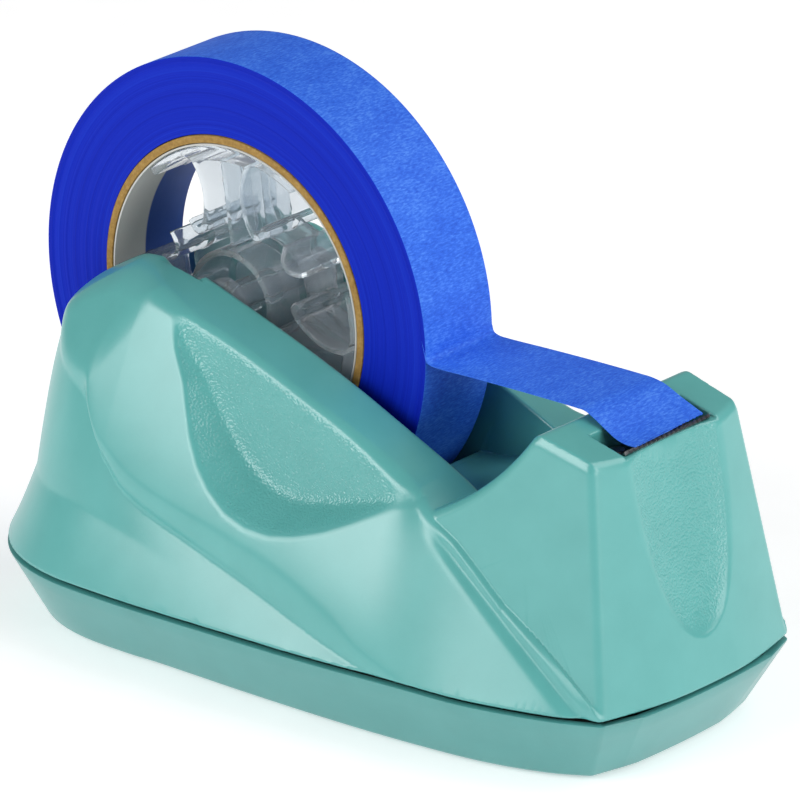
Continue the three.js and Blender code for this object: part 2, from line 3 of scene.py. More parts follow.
import bmesh
import bpy
import numpy as np
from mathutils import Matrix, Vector


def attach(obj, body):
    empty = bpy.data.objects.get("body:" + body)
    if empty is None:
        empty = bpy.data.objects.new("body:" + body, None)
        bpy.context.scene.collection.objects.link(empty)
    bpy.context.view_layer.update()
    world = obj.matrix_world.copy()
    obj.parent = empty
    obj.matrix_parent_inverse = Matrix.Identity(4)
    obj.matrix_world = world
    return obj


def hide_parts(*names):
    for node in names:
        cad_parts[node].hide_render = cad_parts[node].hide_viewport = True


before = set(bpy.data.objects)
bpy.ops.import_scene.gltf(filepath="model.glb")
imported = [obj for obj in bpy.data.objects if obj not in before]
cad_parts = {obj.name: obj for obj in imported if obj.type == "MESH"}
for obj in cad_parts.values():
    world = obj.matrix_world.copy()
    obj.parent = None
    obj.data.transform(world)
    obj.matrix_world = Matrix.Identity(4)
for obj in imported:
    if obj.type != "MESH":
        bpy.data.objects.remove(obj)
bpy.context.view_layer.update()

# Lengths are in millimetres and heights start at the tray's underside, until design_to_row()
# places them in the row frame.
MM = 0.001
LIFT = 0.6                      # the feet raise the tray's underside by this much

# ---- form of the shell
SILL_Z = 17.3
SHELL_BOTTOM_Z = 17.6
SEAM_REVEAL = 0.45              # extra height of the dark groove between shell and tray
SEAM_RADIUS = 0.7
REAR_X = -98.0
REAR_ROUND_X = -50.0
REAR_POWER = 2.4
REAR_TURN = 75.0                # run of the lateral measure round the rear end, side to middle
SHOULDER_HALF_WIDTH = 30.0
RIDGE_PROUD = 0.9               # height of the ridge beside the head above the head's side
RIDGE_FADE_X = (28, 44)         # the hump's side turns into the ridge between these
SIDE_BULGE = 0.085
CREASE_SOFT = 0.6
DEEP_INSIDE = -20               # a field value well inside the material
WELL_HALF_WIDTH = 17.0
WELL_RADIUS = 61.3
WELL_SILL_Z = 40.0
RIM_X, RIM_Z, RIM_RADIUS = 10.0, 114.0, 66.0
SLOT_ANGLE = math.radians(35)
SLOT_HALF_WIDTH = 2.5
SLOT_DEPTH = 2.2
SLOT_LENGTH = 26.0
WALL = 2.5
AXLE_X, AXLE_Z = -38.2, 81.3
HEAD_X, HEAD_Y, HEAD_Z = 66.4, 27.3, 80.1
HEAD_LEAN_X, HEAD_LEAN_Z = 0.089, 0.15
HEAD_TOP_FALL = 0.2335
HEAD_REAR_X = 40.0              # the head's block ends here, inside the hump
FRONT_BOW = 0.0022              # how the front face curves back, per mm of width squared
TOP_CROWN = (0.12, 0.34)        # least and most fall of the wall tops per mm outwards
FRONT_TOP_X, FRONT_TOP_Z = 87.2, 75.2
FRONT_FOOT_X = 98.0
SCREW_PLACES = [(-42, 34), (50, 23)]
BOSS_RADIUS, BOSS_FILLET = 4.2, 0.8
PILOT_RADIUS, PILOT_TOP_Z = 1.8, 28


def curve_through(points):
    """A smooth single-valued curve through (t, value) points, level beyond its ends."""
    t, v = (np.array(column, float) for column in zip(*points))
    before = np.maximum(np.arange(len(t)) - 1, 0)
    after = np.minimum(np.arange(len(t)) + 1, len(t) - 1)
    slope = (v[after] - v[before]) / (t[after] - t[before])

    def value(at):
        at = np.clip(at, t[0], t[-1])
        i = np.clip(np.searchsorted(t, at, "right") - 1, 0, len(t) - 2)
        span = t[i + 1] - t[i]
        u = (at - t[i]) / span
        rise = (3 - 2 * u) * u * u
        start = u * (1 - u) ** 2 * span * slope[i]
        end = -u * u * (1 - u) * span * slope[i + 1]
        return v[i] + (v[i + 1] - v[i]) * rise + start + end

    return value


def smooth_step(t, low, high):
    u = np.clip((t - low) / (high - low), 0, 1)
    return u * u * (3 - 2 * u)


def between(ends, t, span):
    """Runs smoothly from one end value to the other while t crosses the span."""
    return ends[0] + (ends[1] - ends[0]) * smooth_step(t, *span)


def round_max(a, b, radius):
    """Intersection of two solids whose shared edge is rounded to a radius."""
    outside = np.sqrt(np.maximum(a + radius, 0) ** 2 + np.maximum(b + radius, 0) ** 2)
    return np.minimum(np.maximum(a, b), -radius) + outside


def round_min(a, b, radius):
    """Union of two solids with a fillet of that radius in the corner between them."""
    return -round_max(-a, -b, radius)


def head_side_y(x, z):
    return HEAD_Y - HEAD_LEAN_X * (x - HEAD_X) - HEAD_LEAN_Z * (z - HEAD_Z)


sill_half_width = curve_through([
    (-52, 54.1), (-38, 54.0), (-12, 52.6), (18, 50.5), (44, 47.5), (58.6, 46), (71, 43), (83, 39), (93.2, 34),
])
rear_x = curve_through([
    (SILL_Z, REAR_X), (24, -95.6), (31, -93.8), (45, -91), (61, -87.4), (73.3, -83.2), (78, -80),
    (83, -76), (88, -70.5), (92, -65),
])
wall_top_z = curve_through([
    (-86, 73), (-81, 78), (-72.8, 83.6), (-62.4, 88.8), (-57, 89.9), (-53, 89.8), (-42.5, 88.2), (-31.5, 85),
    (-12.9, 79.2), (5.6, 72.5), (17.8, 67.4), (31.5, 61.6), (42, 56.7), (92, 30),
])
shoulder_z = curve_through([
    (-60, 88), (-52, 87.7), (-46.6, 86.6), (-33.4, 81.8), (-17.5, 76.3), (12, 67), (30, 60), (43, 55.5),
    (92, 19.2),
])

# The side's sculpted layers, by the lateral measure q: heights of a low crease, of the pillow's foot
# and of the pillow's soft edge, and how far the surface stands off the plain form at each.
crease_z = curve_through([
    (-80, 35.5), (-57, 35.5), (-47.5, 33.9), (-32, 30.6), (-14.9, 25.6), (3, 19.7), (12, 17.6),
])
foot_z = curve_through([
    (-95, 70), (-76, 64.2), (-66, 62), (-60, 59.2), (-54.7, 53.6), (-50, 46.9), (-42.8, 41.1), (-22.3, 34.5),
    (-2, 28.6), (14, 23.6), (33.2, 18.6), (45, 17.5),
])
pillow_z = curve_through([
    (-95, 76), (-78, 75), (-66, 71.5), (-60, 67.5), (-56.4, 60), (-50.5, 53), (-36.7, 46), (-10, 40.4),
    (5.9, 36.5), (22, 29.7), (30.5, 24.1), (45, 19),
])
crease_off = curve_through([(-80, -2.3), (-57, -2.3), (-32, -1.9), (-3, -0.9), (10, 0)])
foot_off = curve_through([
    (-90, 1.2), (-68, 0.2), (-57, -1.6), (-43, -2.4), (-22, -2.6), (-2, -2.4), (14, -1.9), (33, -0.7),
    (45, 0),
])
pillow_off = curve_through([
    (-85, 2.5), (-68, 2.3), (-57, 1.2), (-43, 0.7), (-22, 0.6), (14, 0.5), (33, 0.2), (45, 0),
])


def base_half_width(x, z):
    """Half width of the hump without its sculpted features."""
    sill = sill_half_width(x)
    top = shoulder_z(x)
    ridge = smooth_step(x, *RIDGE_FADE_X)
    beside_head = head_side_y(x, top) + RIDGE_PROUD
    shoulder = SHOULDER_HALF_WIDTH + (beside_head - SHOULDER_HALF_WIDTH) * ridge
    rise = (z - SILL_Z) / (top - SILL_Z)
    bulge = SIDE_BULGE * (1 - ridge) * 4 * rise * (1 - rise)
    return sill + (shoulder - sill) * (rise - bulge)


def layers_off(q, z):
    """How far the side's layers stand off the plain form, with sharp creases between them."""
    crease, foot, pillow, top = crease_z(q), foot_z(q), pillow_z(q), shoulder_z(q)
    low, middle, high = crease_off(q), foot_off(q), pillow_off(q)
    below_crease = low * (z - SILL_Z) / np.maximum(crease - SILL_Z, 0.5)
    below_foot = low + (middle - low) * (z - crease) / np.maximum(foot - crease, 0.5)
    up = np.clip((z - foot) / np.maximum(pillow - foot, 0.5), 0, 1)
    below_pillow = middle + (high - middle) * (1 - (1 - up) ** 1.9)
    above = high * (1 - smooth_step(z, pillow, np.maximum(top, pillow + 4)))
    layers = np.where(z < pillow, below_pillow, above)
    layers = np.where(z < foot, below_foot, layers)
    return np.where(z < crease, np.maximum(below_crease, low), layers)


def relief(q, z):
    """The same with every crease softened over a short height."""
    return 0.5 * layers_off(q, z) + 0.25 * (layers_off(q, z - CREASE_SOFT) + layers_off(q, z + CREASE_SOFT))


RIDGE_START = (42.9, 55.5)
RIDGE_END = (91.9, 19.0)
RIDGE_STRIP_HALF, RIDGE_STRIP_START_X, RIDGE_STRIP_RADIUS = 1.0, 34, 0.2
RIDGE_RUN_X, RIDGE_RUN_Z = RIDGE_END[0] - RIDGE_START[0], RIDGE_END[1] - RIDGE_START[1]
VALLEY_DEPTH, VALLEY_BELOW_RIDGE, VALLEY_SPREAD = 0.9, 3.0, 1.4
VALLEY_FADE_X = (38, 50)        # the valley deepens from nothing between these


def above_ridge(x, z):
    """Distance up and forward of the ridge line, in side view."""
    away = RIDGE_RUN_X * (z - RIDGE_START[1]) - RIDGE_RUN_Z * (x - RIDGE_START[0])
    return away / math.hypot(RIDGE_RUN_X, RIDGE_RUN_Z)


def valley(x, z):
    """The soft hollow that runs along the foot of the ridge."""
    across = (above_ridge(x, z) + VALLEY_BELOW_RIDGE) / VALLEY_SPREAD
    return -VALLEY_DEPTH * np.exp(-across ** 2) * smooth_step(x, *VALLEY_FADE_X)


def side_field(x, y, z):
    """Signed distance, nearly, to the hump's side and rear, with their relief."""
    step = 0.05
    width = base_half_width(x, z)
    width_x = (base_half_width(x + step, z) - width) / step
    width_z = (base_half_width(x, z + step) - width) / step
    flank = (y - width) / np.sqrt(1 + width_x ** 2 + width_z ** 2)
    length = REAR_ROUND_X - rear_x(z)
    length_z = -(rear_x(z + step) - rear_x(z - step)) / (2 * step)
    at_round = np.full_like(z, REAR_ROUND_X)
    across = base_half_width(at_round, z)
    across_z = (base_half_width(at_round, z + step) - across) / step
    u = np.maximum(REAR_ROUND_X - x, 1e-6) / length
    v = np.maximum(y, 1e-6) / across
    n = REAR_POWER
    r = (u ** n + v ** n) ** (1 / n)
    du = (u / r) ** (n - 1)
    dv = (v / r) ** (n - 1)
    slope_x = du / length
    slope_y = dv / across
    slope_z = du * u * length_z / length + dv * v * across_z / across
    rear = (r - 1) / np.sqrt(slope_x ** 2 + slope_y ** 2 + slope_z ** 2)
    behind = x < REAR_ROUND_X
    turn = np.arctan2(u ** (n / 2), v ** (n / 2)) / (math.pi / 2)
    q = np.where(behind, REAR_ROUND_X - REAR_TURN * turn, x)
    return np.where(behind, rear, flank) - relief(q, z) - valley(x, z)


# The leathery thumb recess in the side: a sloping floor with walls that rise all round below.
RECESS_FLOOR = [
    (-44, 86), (-40.9, 82.7), (-36.3, 76.5), (-30.7, 70.8), (-23.7, 61.3), (-19.4, 56.6), (-15, 53),
    (-10, 50), (-5, 48.4), (0.3, 47.9), (5.9, 48.5), (13.3, 50.1), (20.8, 52.3), (28, 54.4), (35.6, 57),
    (38, 60), (38, 100), (-44, 100),
]
recess_dip = curve_through([(-45, 0.4), (-37, 1.1), (-21, 2.1), (3, 1.4), (19, 0.9), (36, 0)])
RECESS_POINT = (-17.5, 31, 76.4)
RECESS_FALL_X, RECESS_FALL_Z = 0.05, 0.17
RECESS_FLOOR_RISE, RECESS_WALL_RISE = 0.18, 1.75
RECESS_FILLET = 1.3
RECESS_EDGE, RECESS_EDGE_X = (0.4, 1.1), (-42, -15)     # its edge is sharper at the rear
RECESS_FLOOR_LENGTH = math.hypot(1, RECESS_FLOOR_RISE)
RECESS_WALL_LENGTH = math.hypot(1, RECESS_WALL_RISE)


def recess_floor_y(x, z):
    at_x, at_y, at_z = RECESS_POINT
    return at_y - RECESS_FALL_X * (x - at_x) - RECESS_FALL_Z * (z - at_z) - recess_dip(x)


def outside_polygon(points, x, z):
    """Signed distance in side view to a closed outline, positive outside it."""
    nearest = np.full(np.broadcast(x, z).shape, 1e9)
    inside = np.zeros(nearest.shape, bool)
    for (ax, az), (bx, bz) in zip(points, points[1:] + points[:1]):
        run_x, run_z = bx - ax, bz - az
        part = np.clip(((x - ax) * run_x + (z - az) * run_z) / (run_x ** 2 + run_z ** 2), 0, 1)
        gap = (x - ax - part * run_x) ** 2 + (z - az - part * run_z) ** 2
        nearest = np.minimum(nearest, gap)
        crosses = (az > z) != (bz > z)
        rise = run_z if run_z else 1e-9
        inside ^= crosses & (x < ax + (z - az) * run_x / rise)
    return np.where(inside, -1, 1) * np.sqrt(nearest)


def smooth_ramp(t, softness):
    """Nought below nought and t above it, with the corner eased."""
    return 0.5 * (t + np.sqrt(t * t + softness * softness))


def recess_field(x, y, z):
    """Below nought inside the material that the recess leaves."""
    outside = outside_polygon(RECESS_FLOOR, x, z)
    surface = recess_floor_y(x, z) + RECESS_WALL_RISE * smooth_ramp(outside, RECESS_FILLET)
    part = smooth_step(outside, -1, 1)
    return (y - surface) / (RECESS_FLOOR_LENGTH + (RECESS_WALL_LENGTH - RECESS_FLOOR_LENGTH) * part)


def top_field(x, y, z):
    """Signed distance, nearly, to the wall tops, which fall outwards to the shoulder line."""
    step = 0.05
    top = wall_top_z(x)
    slope = (wall_top_z(x + step) - top) / step
    crown = np.clip((top - shoulder_z(x)) / (SHOULDER_HALF_WIDTH - WELL_HALF_WIDTH), *TOP_CROWN)
    height = z - top + crown * (y - WELL_HALF_WIDTH)
    return height / np.sqrt(1 + slope ** 2 + crown ** 2)


def ridge_strip_field(x, z):
    """The far edge of the narrow strip along the ridge, a small step above the head's side."""
    return np.where(x > RIDGE_STRIP_START_X, above_ridge(x, z) - RIDGE_STRIP_HALF, DEEP_INSIDE)


REAR_FACET_NORMAL = (-0.258, 0.80, 0.54)
REAR_FACET_POINT = (-50.1, 31.0, 84.8)
REAR_FACET_RADIUS = 1.2
FRONT_NORMAL = (FRONT_TOP_Z - SILL_Z, 0, FRONT_FOOT_X - FRONT_TOP_X)
FRONT_CORNER_NORMAL, FRONT_CORNER_POINT = (0.926, 0.321, 0.201), (83.1, 26.3, 76.2)
FRONT_CORNER_RADIUS = 4.0
TOP_EDGE, TOP_EDGE_BACK = (2.2, 5.2), (34, 60)          # the wall tops are rounder at the rear


def plane(x, y, z, normal, point):
    """Signed distance to a plane, positive on the side that its normal points to."""
    away = sum(part * (at - start) for part, at, start in zip(normal, (x, y, z), point))
    return away / math.hypot(*normal)


def front_field(x, y, z):
    """The sloping front face with the soft corners beside it."""
    bow = FRONT_BOW * y * y
    front = plane(x + bow, y, z, FRONT_NORMAL, (FRONT_TOP_X, 0, FRONT_TOP_Z))
    corner = plane(x, y, z, FRONT_CORNER_NORMAL, FRONT_CORNER_POINT)
    return round_max(front, corner, FRONT_CORNER_RADIUS)


def hump_field(x, y, z):
    side = side_field(x, y, z)
    side = round_max(side, plane(x, y, z, REAR_FACET_NORMAL, REAR_FACET_POINT), REAR_FACET_RADIUS)
    side = round_max(side, recess_field(x, y, z), between(RECESS_EDGE, x, RECESS_EDGE_X))
    side = round_max(side, ridge_strip_field(x, z), RIDGE_STRIP_RADIUS)
    return round_max(side, top_field(x, y, z), between(TOP_EDGE, -x, TOP_EDGE_BACK))


HEAD_CHAMFER, HEAD_CHAMFER_TILT = 1.9, 0.42
HEAD_TOP_RADIUS, HEAD_CHAMFER_RADIUS, HEAD_RIM_RADIUS = 0.5, 0.3, 2.2


def head_field(x, y, z):
    side = plane(x, y, z, (HEAD_LEAN_X, 1, HEAD_LEAN_Z), (HEAD_X, HEAD_Y, HEAD_Z))
    top = plane(x, y, z, (HEAD_TOP_FALL, 0, 1), (HEAD_X, 0, HEAD_Z))
    rim = RIM_RADIUS - np.hypot(x - RIM_X, z - RIM_Z)
    chamfer = side + HEAD_CHAMFER_TILT * top + HEAD_CHAMFER_TILT * HEAD_CHAMFER
    chamfer = chamfer / math.hypot(1, HEAD_CHAMFER_TILT)
    block = round_max(round_max(side, top, HEAD_TOP_RADIUS), chamfer, HEAD_CHAMFER_RADIUS)
    block = round_max(block, rim, HEAD_RIM_RADIUS)
    return np.maximum(block, HEAD_REAR_X - x)


def well_field(x, y, z):
    """Below nought inside the space that the roll turns in."""
    disc = np.hypot(x - AXLE_X, z - AXLE_Z) - WELL_RADIUS
    rim = np.hypot(x - RIM_X, z - RIM_Z) - RIM_RADIUS
    rear = np.maximum(WELL_SILL_Z - z, x - AXLE_X)
    outline = np.minimum(np.minimum(disc, rim), rear)
    return np.maximum(outline, y - WELL_HALF_WIDTH)


def slot_field(x, y, z):
    along_x, along_z = -math.cos(SLOT_ANGLE), math.sin(SLOT_ANGLE)
    dx, dz = x - AXLE_X, z - AXLE_Z
    reach = np.clip(dx * along_x + dz * along_z, 0, SLOT_LENGTH)
    channel = np.hypot(dx - reach * along_x, dz - reach * along_z) - SLOT_HALF_WIDTH
    return np.maximum(channel, y - WELL_HALF_WIDTH - SLOT_DEPTH)


NOTCH_REAR_X, NOTCH_FRONT_X, NOTCH_FLOOR_Z, NOTCH_HALF_WIDTH = 73.9, 84.6, 66, 16.3
NOTCH_WALL_X, NOTCH_WALL_Z, NOTCH_WALL_STEEPNESS = 82.2, 73.4, 15
LIP_REAR_X, LIP_FLOOR_Z = 80, 75.3


def notch_field(x, y, z):
    """Below nought in the pocket that holds the blade, and over the lip in front of it."""
    wall = NOTCH_WALL_STEEPNESS * (x - NOTCH_WALL_X) + NOTCH_WALL_Z - z
    pocket = np.maximum(NOTCH_REAR_X - x, x - NOTCH_FRONT_X)
    pocket = np.maximum(pocket, np.maximum(NOTCH_FLOOR_Z - z, wall))
    lip = np.maximum(LIP_REAR_X - x, LIP_FLOOR_Z - z)
    return np.maximum(np.minimum(pocket, lip), y - NOTCH_HALF_WIDTH)


SCOOP_PLACE = (FRONT_TOP_X, 75.6)
SCOOP_HALF = (3.9, 17.4, 46.0)
SCOOP_LEAN = math.atan2(FRONT_FOOT_X - FRONT_TOP_X, FRONT_TOP_Z - SILL_Z)
HEAD_FILLET, WELL_EDGE, SLOT_EDGE = 0.25, 1.0, 0.3
FRONT_EDGE, SCOOP_EDGE, NOTCH_EDGE = 1.9, 1.2, 0.5


def scoop_field(x, y, z):
    dx, dz = x - SCOOP_PLACE[0], z - SCOOP_PLACE[1]
    deep = dx * math.cos(SCOOP_LEAN) + dz * math.sin(SCOOP_LEAN)
    down = -dx * math.sin(SCOOP_LEAN) + dz * math.cos(SCOOP_LEAN)
    a, b, c = SCOOP_HALF
    near = np.sqrt((deep / a) ** 2 + (y / b) ** 2 + (down / c) ** 2)
    steep = np.sqrt((deep / a ** 2) ** 2 + (y / b ** 2) ** 2 + (down / c ** 2) ** 2)
    return near * (near - 1) / np.maximum(steep, 1e-6)


def solid_field(x, y, z):
    """The outer form of the shell, as if it were solid and had no underside."""
    form = round_min(hump_field(x, y, z), head_field(x, y, z), HEAD_FILLET)
    form = round_max(form, front_field(x, y, z), FRONT_EDGE)
    form = round_max(form, -scoop_field(x, y, z), SCOOP_EDGE)
    form = round_max(form, -notch_field(x, y, z), NOTCH_EDGE)
    form = round_max(form, -slot_field(x, y, z), SLOT_EDGE)
    return round_max(form, -well_field(x, y, z), WELL_EDGE)


def boss_field(x, y, z):
    posts = np.full(np.broadcast(x, y, z).shape, 1e9)
    for place_x, place_y in SCREW_PLACES:
        posts = np.minimum(posts, np.hypot(x - place_x, y - place_y) - BOSS_RADIUS)
    return posts


def pilot_field(x, y, z):
    bore = boss_field(x, y, z) + BOSS_RADIUS - PILOT_RADIUS
    return np.maximum(bore, z - PILOT_TOP_Z)


def shell_field(x, y, z):
    """The whole shell, hollow and open below, with its screw bosses."""
    y = np.abs(y)
    outer = solid_field(x, y, z)
    hollow = -(outer + WALL)
    walls = np.maximum(outer, round_min(hollow, boss_field(x, y, z), BOSS_FILLET))
    walls = np.maximum(walls, -pilot_field(x, y, z))
    return round_max(walls, SHELL_BOTTOM_Z + SEAM_REVEAL - z, SEAM_RADIUS)


# ---- fields to meshes
NET_STEP = 0.62
NET_LOW = (-100.0, 0.0, 16.2)
NET_HIGH = (100.4, 57.0, 93.0)
SHELL_TRIANGLES = 185000
CORNERS = [(i, j, k) for i in (0, 1) for j in (0, 1) for k in (0, 1)]
CELL_EDGES = [(a, b) for a in range(8) for b in range(a + 1, 8)
              if sum(abs(p - q) for p, q in zip(CORNERS[a], CORNERS[b])) == 1]


def mirrored_axes(low, high, step):
    """Grid lines along x, y and z, the same on both sides of y = 0."""
    x, half, z = (np.arange(start, end, step) for start, end in zip(low, high))
    return [x, np.concatenate([-half[:0:-1], half]), z]


def sample_field(field, axes):
    """Values on the whole grid, taken slab by slab to spare memory."""
    xs, ys, zs = axes
    half = ys[ys >= -1e-6]
    slabs = []
    for start in range(0, len(xs), 16):
        x, y, z = np.meshgrid(xs[start:start + 16], half, zs, indexing="ij")
        slabs.append(field(x, y, z))
    near = np.concatenate(slabs)
    return np.concatenate([near[:, :0:-1], near], axis=1)


def surface_net(values, low, step):
    """Vertices and quads of the nought surface, one vertex to each cell that it passes through."""
    inside = values < 0
    shape = [n - 1 for n in values.shape]
    cut = [tuple(slice(o, o + n) for o, n in zip(corner, shape)) for corner in CORNERS]
    count = sum(inside[c].astype(np.int8) for c in cut)
    active = (count > 0) & (count < 8)
    cells = np.argwhere(active)
    number = np.full(shape, -1, np.int64)
    number[active] = np.arange(len(cells))
    at = np.stack([values[tuple((cells + corner).T)] for corner in CORNERS], axis=1)
    total = np.zeros((len(cells), 3))
    hits = np.zeros(len(cells))
    for a, b in CELL_EDGES:
        va, vb = at[:, a], at[:, b]
        crosses = (va < 0) != (vb < 0)
        part = np.where(crosses, va / np.where(crosses, va - vb, 1), 0)
        point = np.array(CORNERS[a]) + part[:, None] * (np.array(CORNERS[b]) - np.array(CORNERS[a]))
        total += point * crosses[:, None]
        hits += crosses
    points = np.array(low) + step * (cells + total / hits[:, None])
    return points, net_quads(inside, number)


def net_quads(inside, number):
    quads = []
    for axis in range(3):
        one = (axis + 1) % 3
        two = (axis + 2) % 3
        size = list(inside.shape)
        here = [slice(1, n - 1) for n in size]
        here[axis] = slice(0, size[axis] - 1)
        there = list(here)
        there[axis] = slice(1, size[axis])
        a, b = inside[tuple(here)], inside[tuple(there)]
        start = np.array([part.start for part in here])
        for flip, edges in ((False, a & ~b), (True, ~a & b)):
            spots = np.argwhere(edges) + start
            ring = []
            for back_one, back_two in ((1, 1), (0, 1), (0, 0), (1, 0)):
                cell = spots.copy()
                cell[:, one] -= back_one
                cell[:, two] -= back_two
                ring.append(number[tuple(cell.T)])
            ring = ring[::-1] if flip else ring
            quads.append(np.stack(ring, axis=1))
    return np.concatenate(quads)


def gradient(field, points, step=0.12):
    """The slope of a field at each point."""
    slopes = []
    for axis in range(3):
        low, high = points.copy(), points.copy()
        low[:, axis] -= step
        high[:, axis] += step
        slopes.append((field(*high.T) - field(*low.T)) / (2 * step))
    return np.stack(slopes, axis=1)


def settle(field, points, reach):
    """Moves points onto the nought surface, each no further than reach."""
    for _ in range(2):
        slope = gradient(field, points)
        move = -field(*points.T)[:, None] * slope / np.maximum((slope ** 2).sum(1), 0.05)[:, None]
        size = np.linalg.norm(move, axis=1, keepdims=True)
        points = points + move * np.minimum(1, reach / np.maximum(size, 1e-9))
    return points


def design_to_row(points):
    return (np.asarray(points, float) + (0, 0, LIFT)) * MM


def new_object(name, points, faces):
    """A mesh object from design-frame points in millimetres."""
    mesh = bpy.data.meshes.new(name)
    mesh.from_pydata(design_to_row(points).tolist(), [], [list(map(int, face)) for face in faces])
    mesh.update()
    item = bpy.data.objects.new(name, mesh)
    bpy.context.scene.collection.objects.link(item)
    return item


def mesh_points(item):
    count = len(item.data.vertices)
    flat = np.empty(count * 3)
    item.data.vertices.foreach_get("co", flat)
    return flat.reshape(count, 3) / MM - (0, 0, LIFT)


def apply_modifiers(item):
    seen = item.evaluated_get(bpy.context.evaluated_depsgraph_get())
    mesh = bpy.data.meshes.new_from_object(seen)
    old = item.data
    item.modifiers.clear()
    item.data = mesh
    bpy.data.meshes.remove(old)


def thin_out(item, triangles):
    count = sum(len(face.vertices) - 2 for face in item.data.polygons)
    if count > triangles:
        thin = item.modifiers.new("thin", "DECIMATE")
        thin.ratio = triangles / count
        apply_modifiers(item)


def on_floor(floor, body, low, high):
    """One on a sunken floor, nought off it, and fading near the body's plain surface."""
    return (1 - smooth_step(np.abs(floor), 0.15, 0.5)) * smooth_step(-body, low, high)


def grain_amount(points):
    """How leathery each point of the shell is: fully in the side recess and the front scoop."""
    x, y, z = points[:, 0], np.abs(points[:, 1]), points[:, 2]
    body = np.maximum(side_field(x, y, z), top_field(x, y, z))
    head = np.maximum(head_field(x, y, z), front_field(x, y, z))
    in_recess = on_floor(recess_field(x, y, z), body, 0.2, 0.7) * ((x > -47) & (x < 42))
    in_scoop = on_floor(scoop_field(x, y, z), head, 0.35, 1.1) * (x > 84)
    return np.clip(np.maximum(in_recess, in_scoop), 0, 1)


def net_object(name, field, axes, step, triangles):
    """A piece made from the nought surface of a field that is the same on both sides of y = 0."""
    values = sample_field(field, axes)
    points, quads = surface_net(values, [axis[0] for axis in axes], step)
    points = settle(field, points, 0.5 * step)
    item = new_object(name, points, quads)
    thin_out(item, triangles)
    points = mesh_points(item)
    normals = gradient(field, points, 0.2)
    normals /= np.maximum(np.linalg.norm(normals, axis=1, keepdims=True), 1e-9)
    item.data.polygons.foreach_set("use_smooth", [True] * len(item.data.polygons))
    item.data.normals_split_custom_set_from_vertices(normals.tolist())
    return item


def body_shell():
    axes = mirrored_axes(NET_LOW, NET_HIGH, NET_STEP)
    shell = net_object("shell_body", shell_field, axes, NET_STEP, SHELL_TRIANGLES)
    grain = shell.data.attributes.new("grain", "FLOAT", "POINT")
    grain.data.foreach_set("value", grain_amount(mesh_points(shell)))
    return finish_piece(shell, "base", "shell_plastic", "body_shell")


# ---- plain mesh makers
def finish_piece(item, body, slot, *nodes):
    """Parents a piece to its body's empty, gives it the material for its finish and hides the CAD nodes that
    it stands in for.
    """
    if nodes:
        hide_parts(*nodes)
    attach(item, body)
    shade(item, LOOKS[slot])
    return item


def smooth(item, angle=35):
    mesh = item.data
    mesh.polygons.foreach_set("use_smooth", [True] * len(mesh.polygons))
    mesh.set_sharp_from_angle(angle=math.radians(angle))


def corner_arc(before, here, after, radius, steps):
    """The points that round one corner of an outline, always steps + 1 of them."""
    here = np.array(here, float)
    back, on = np.array(before, float) - here, np.array(after, float) - here
    size_back, size_on = np.linalg.norm(back), np.linalg.norm(on)
    back, on = back / size_back, on / size_on
    half = math.acos(np.clip(back @ on, -1, 1)) / 2
    run = min(radius / max(math.tan(half), 1e-6), 0.45 * size_back, 0.45 * size_on)
    start, end = here + back * run, here + on * run
    shares = [step / steps for step in range(steps + 1)]
    return [tuple((1 - t) ** 2 * start + 2 * t * (1 - t) * here + t * t * end) for t in shares]


def round_corners(corners, radius, steps=4):
    """A closed outline with an arc at each corner; a corner may carry its own radius third."""
    outline = []
    for i, corner in enumerate(corners):
        before, after = corners[i - 1][:2], corners[(i + 1) % len(corners)][:2]
        wanted = corner[2] if len(corner) > 2 else radius
        outline += corner_arc(before, corner[:2], after, wanted, steps)
    return outline


def face_outwards(item):
    work = bmesh.new()
    work.from_mesh(item.data)
    bmesh.ops.recalc_face_normals(work, faces=work.faces)
    work.to_mesh(item.data)
    work.free()


def skin(name, rings, closes=False):
    """Joins rings of equal length by quads; the two ends get flat faces unless the stack closes."""
    rings = np.array(rings, float)
    levels, count = rings.shape[:2]
    level, i = np.meshgrid(np.arange(levels if closes else levels - 1), np.arange(count), indexing="ij")
    here, above, j = level * count, (level + 1) % levels * count, (i + 1) % count
    faces = np.stack([here + i, here + j, above + j, above + i], axis=2).reshape(-1, 4).tolist()
    if not closes:
        faces += [range(count)[::-1], range((levels - 1) * count, levels * count)]
    item = new_object(name, rings.reshape(-1, 3), faces)
    face_outwards(item)
    return item


def circle(radius, centre, count):
    turn = np.arange(count) * 2 * math.pi / count
    return centre[0] + radius * np.cos(turn), centre[1] + radius * np.sin(turn)


def turned_post(name, centre, profile, count=32, closes=False):
    """A solid of revolution about a vertical line, from (radius, z) pairs up its side."""
    rings = [np.column_stack([*circle(radius, centre, count), np.full(count, z)]) for radius, z in profile]
    return skin(name, rings, closes)


def lathe(name, profile, count):
    """A ring round the axle from a closed (radius, y) profile."""
    rings = []
    for radius, y in profile:
        x, z = circle(radius, (AXLE_X, AXLE_Z), count)
        rings.append(np.column_stack([x, np.full(count, y), z]))
    item = skin(name, rings, closes=True)
    smooth(item)
    return item


def cut_away(item, cutters):
    """Cuts the cutters out of a piece and deletes them."""
    bpy.ops.object.select_all(action="DESELECT")
    for cutter in cutters:
        cutter.select_set(True)
    bpy.context.view_layer.objects.active = cutters[0]
    if len(cutters) > 1:
        bpy.ops.object.join()
    tool = bpy.context.view_layer.objects.active
    cut = item.modifiers.new("cut", "BOOLEAN")
    cut.operation = "DIFFERENCE"
    cut.solver = "EXACT"
    cut.use_self = True
    cut.object = tool
    apply_modifiers(item)
    bpy.data.objects.remove(tool)


def on_both_sides(places):
    return [(x, side * y) for x, y in places for side in (-1, 1)]


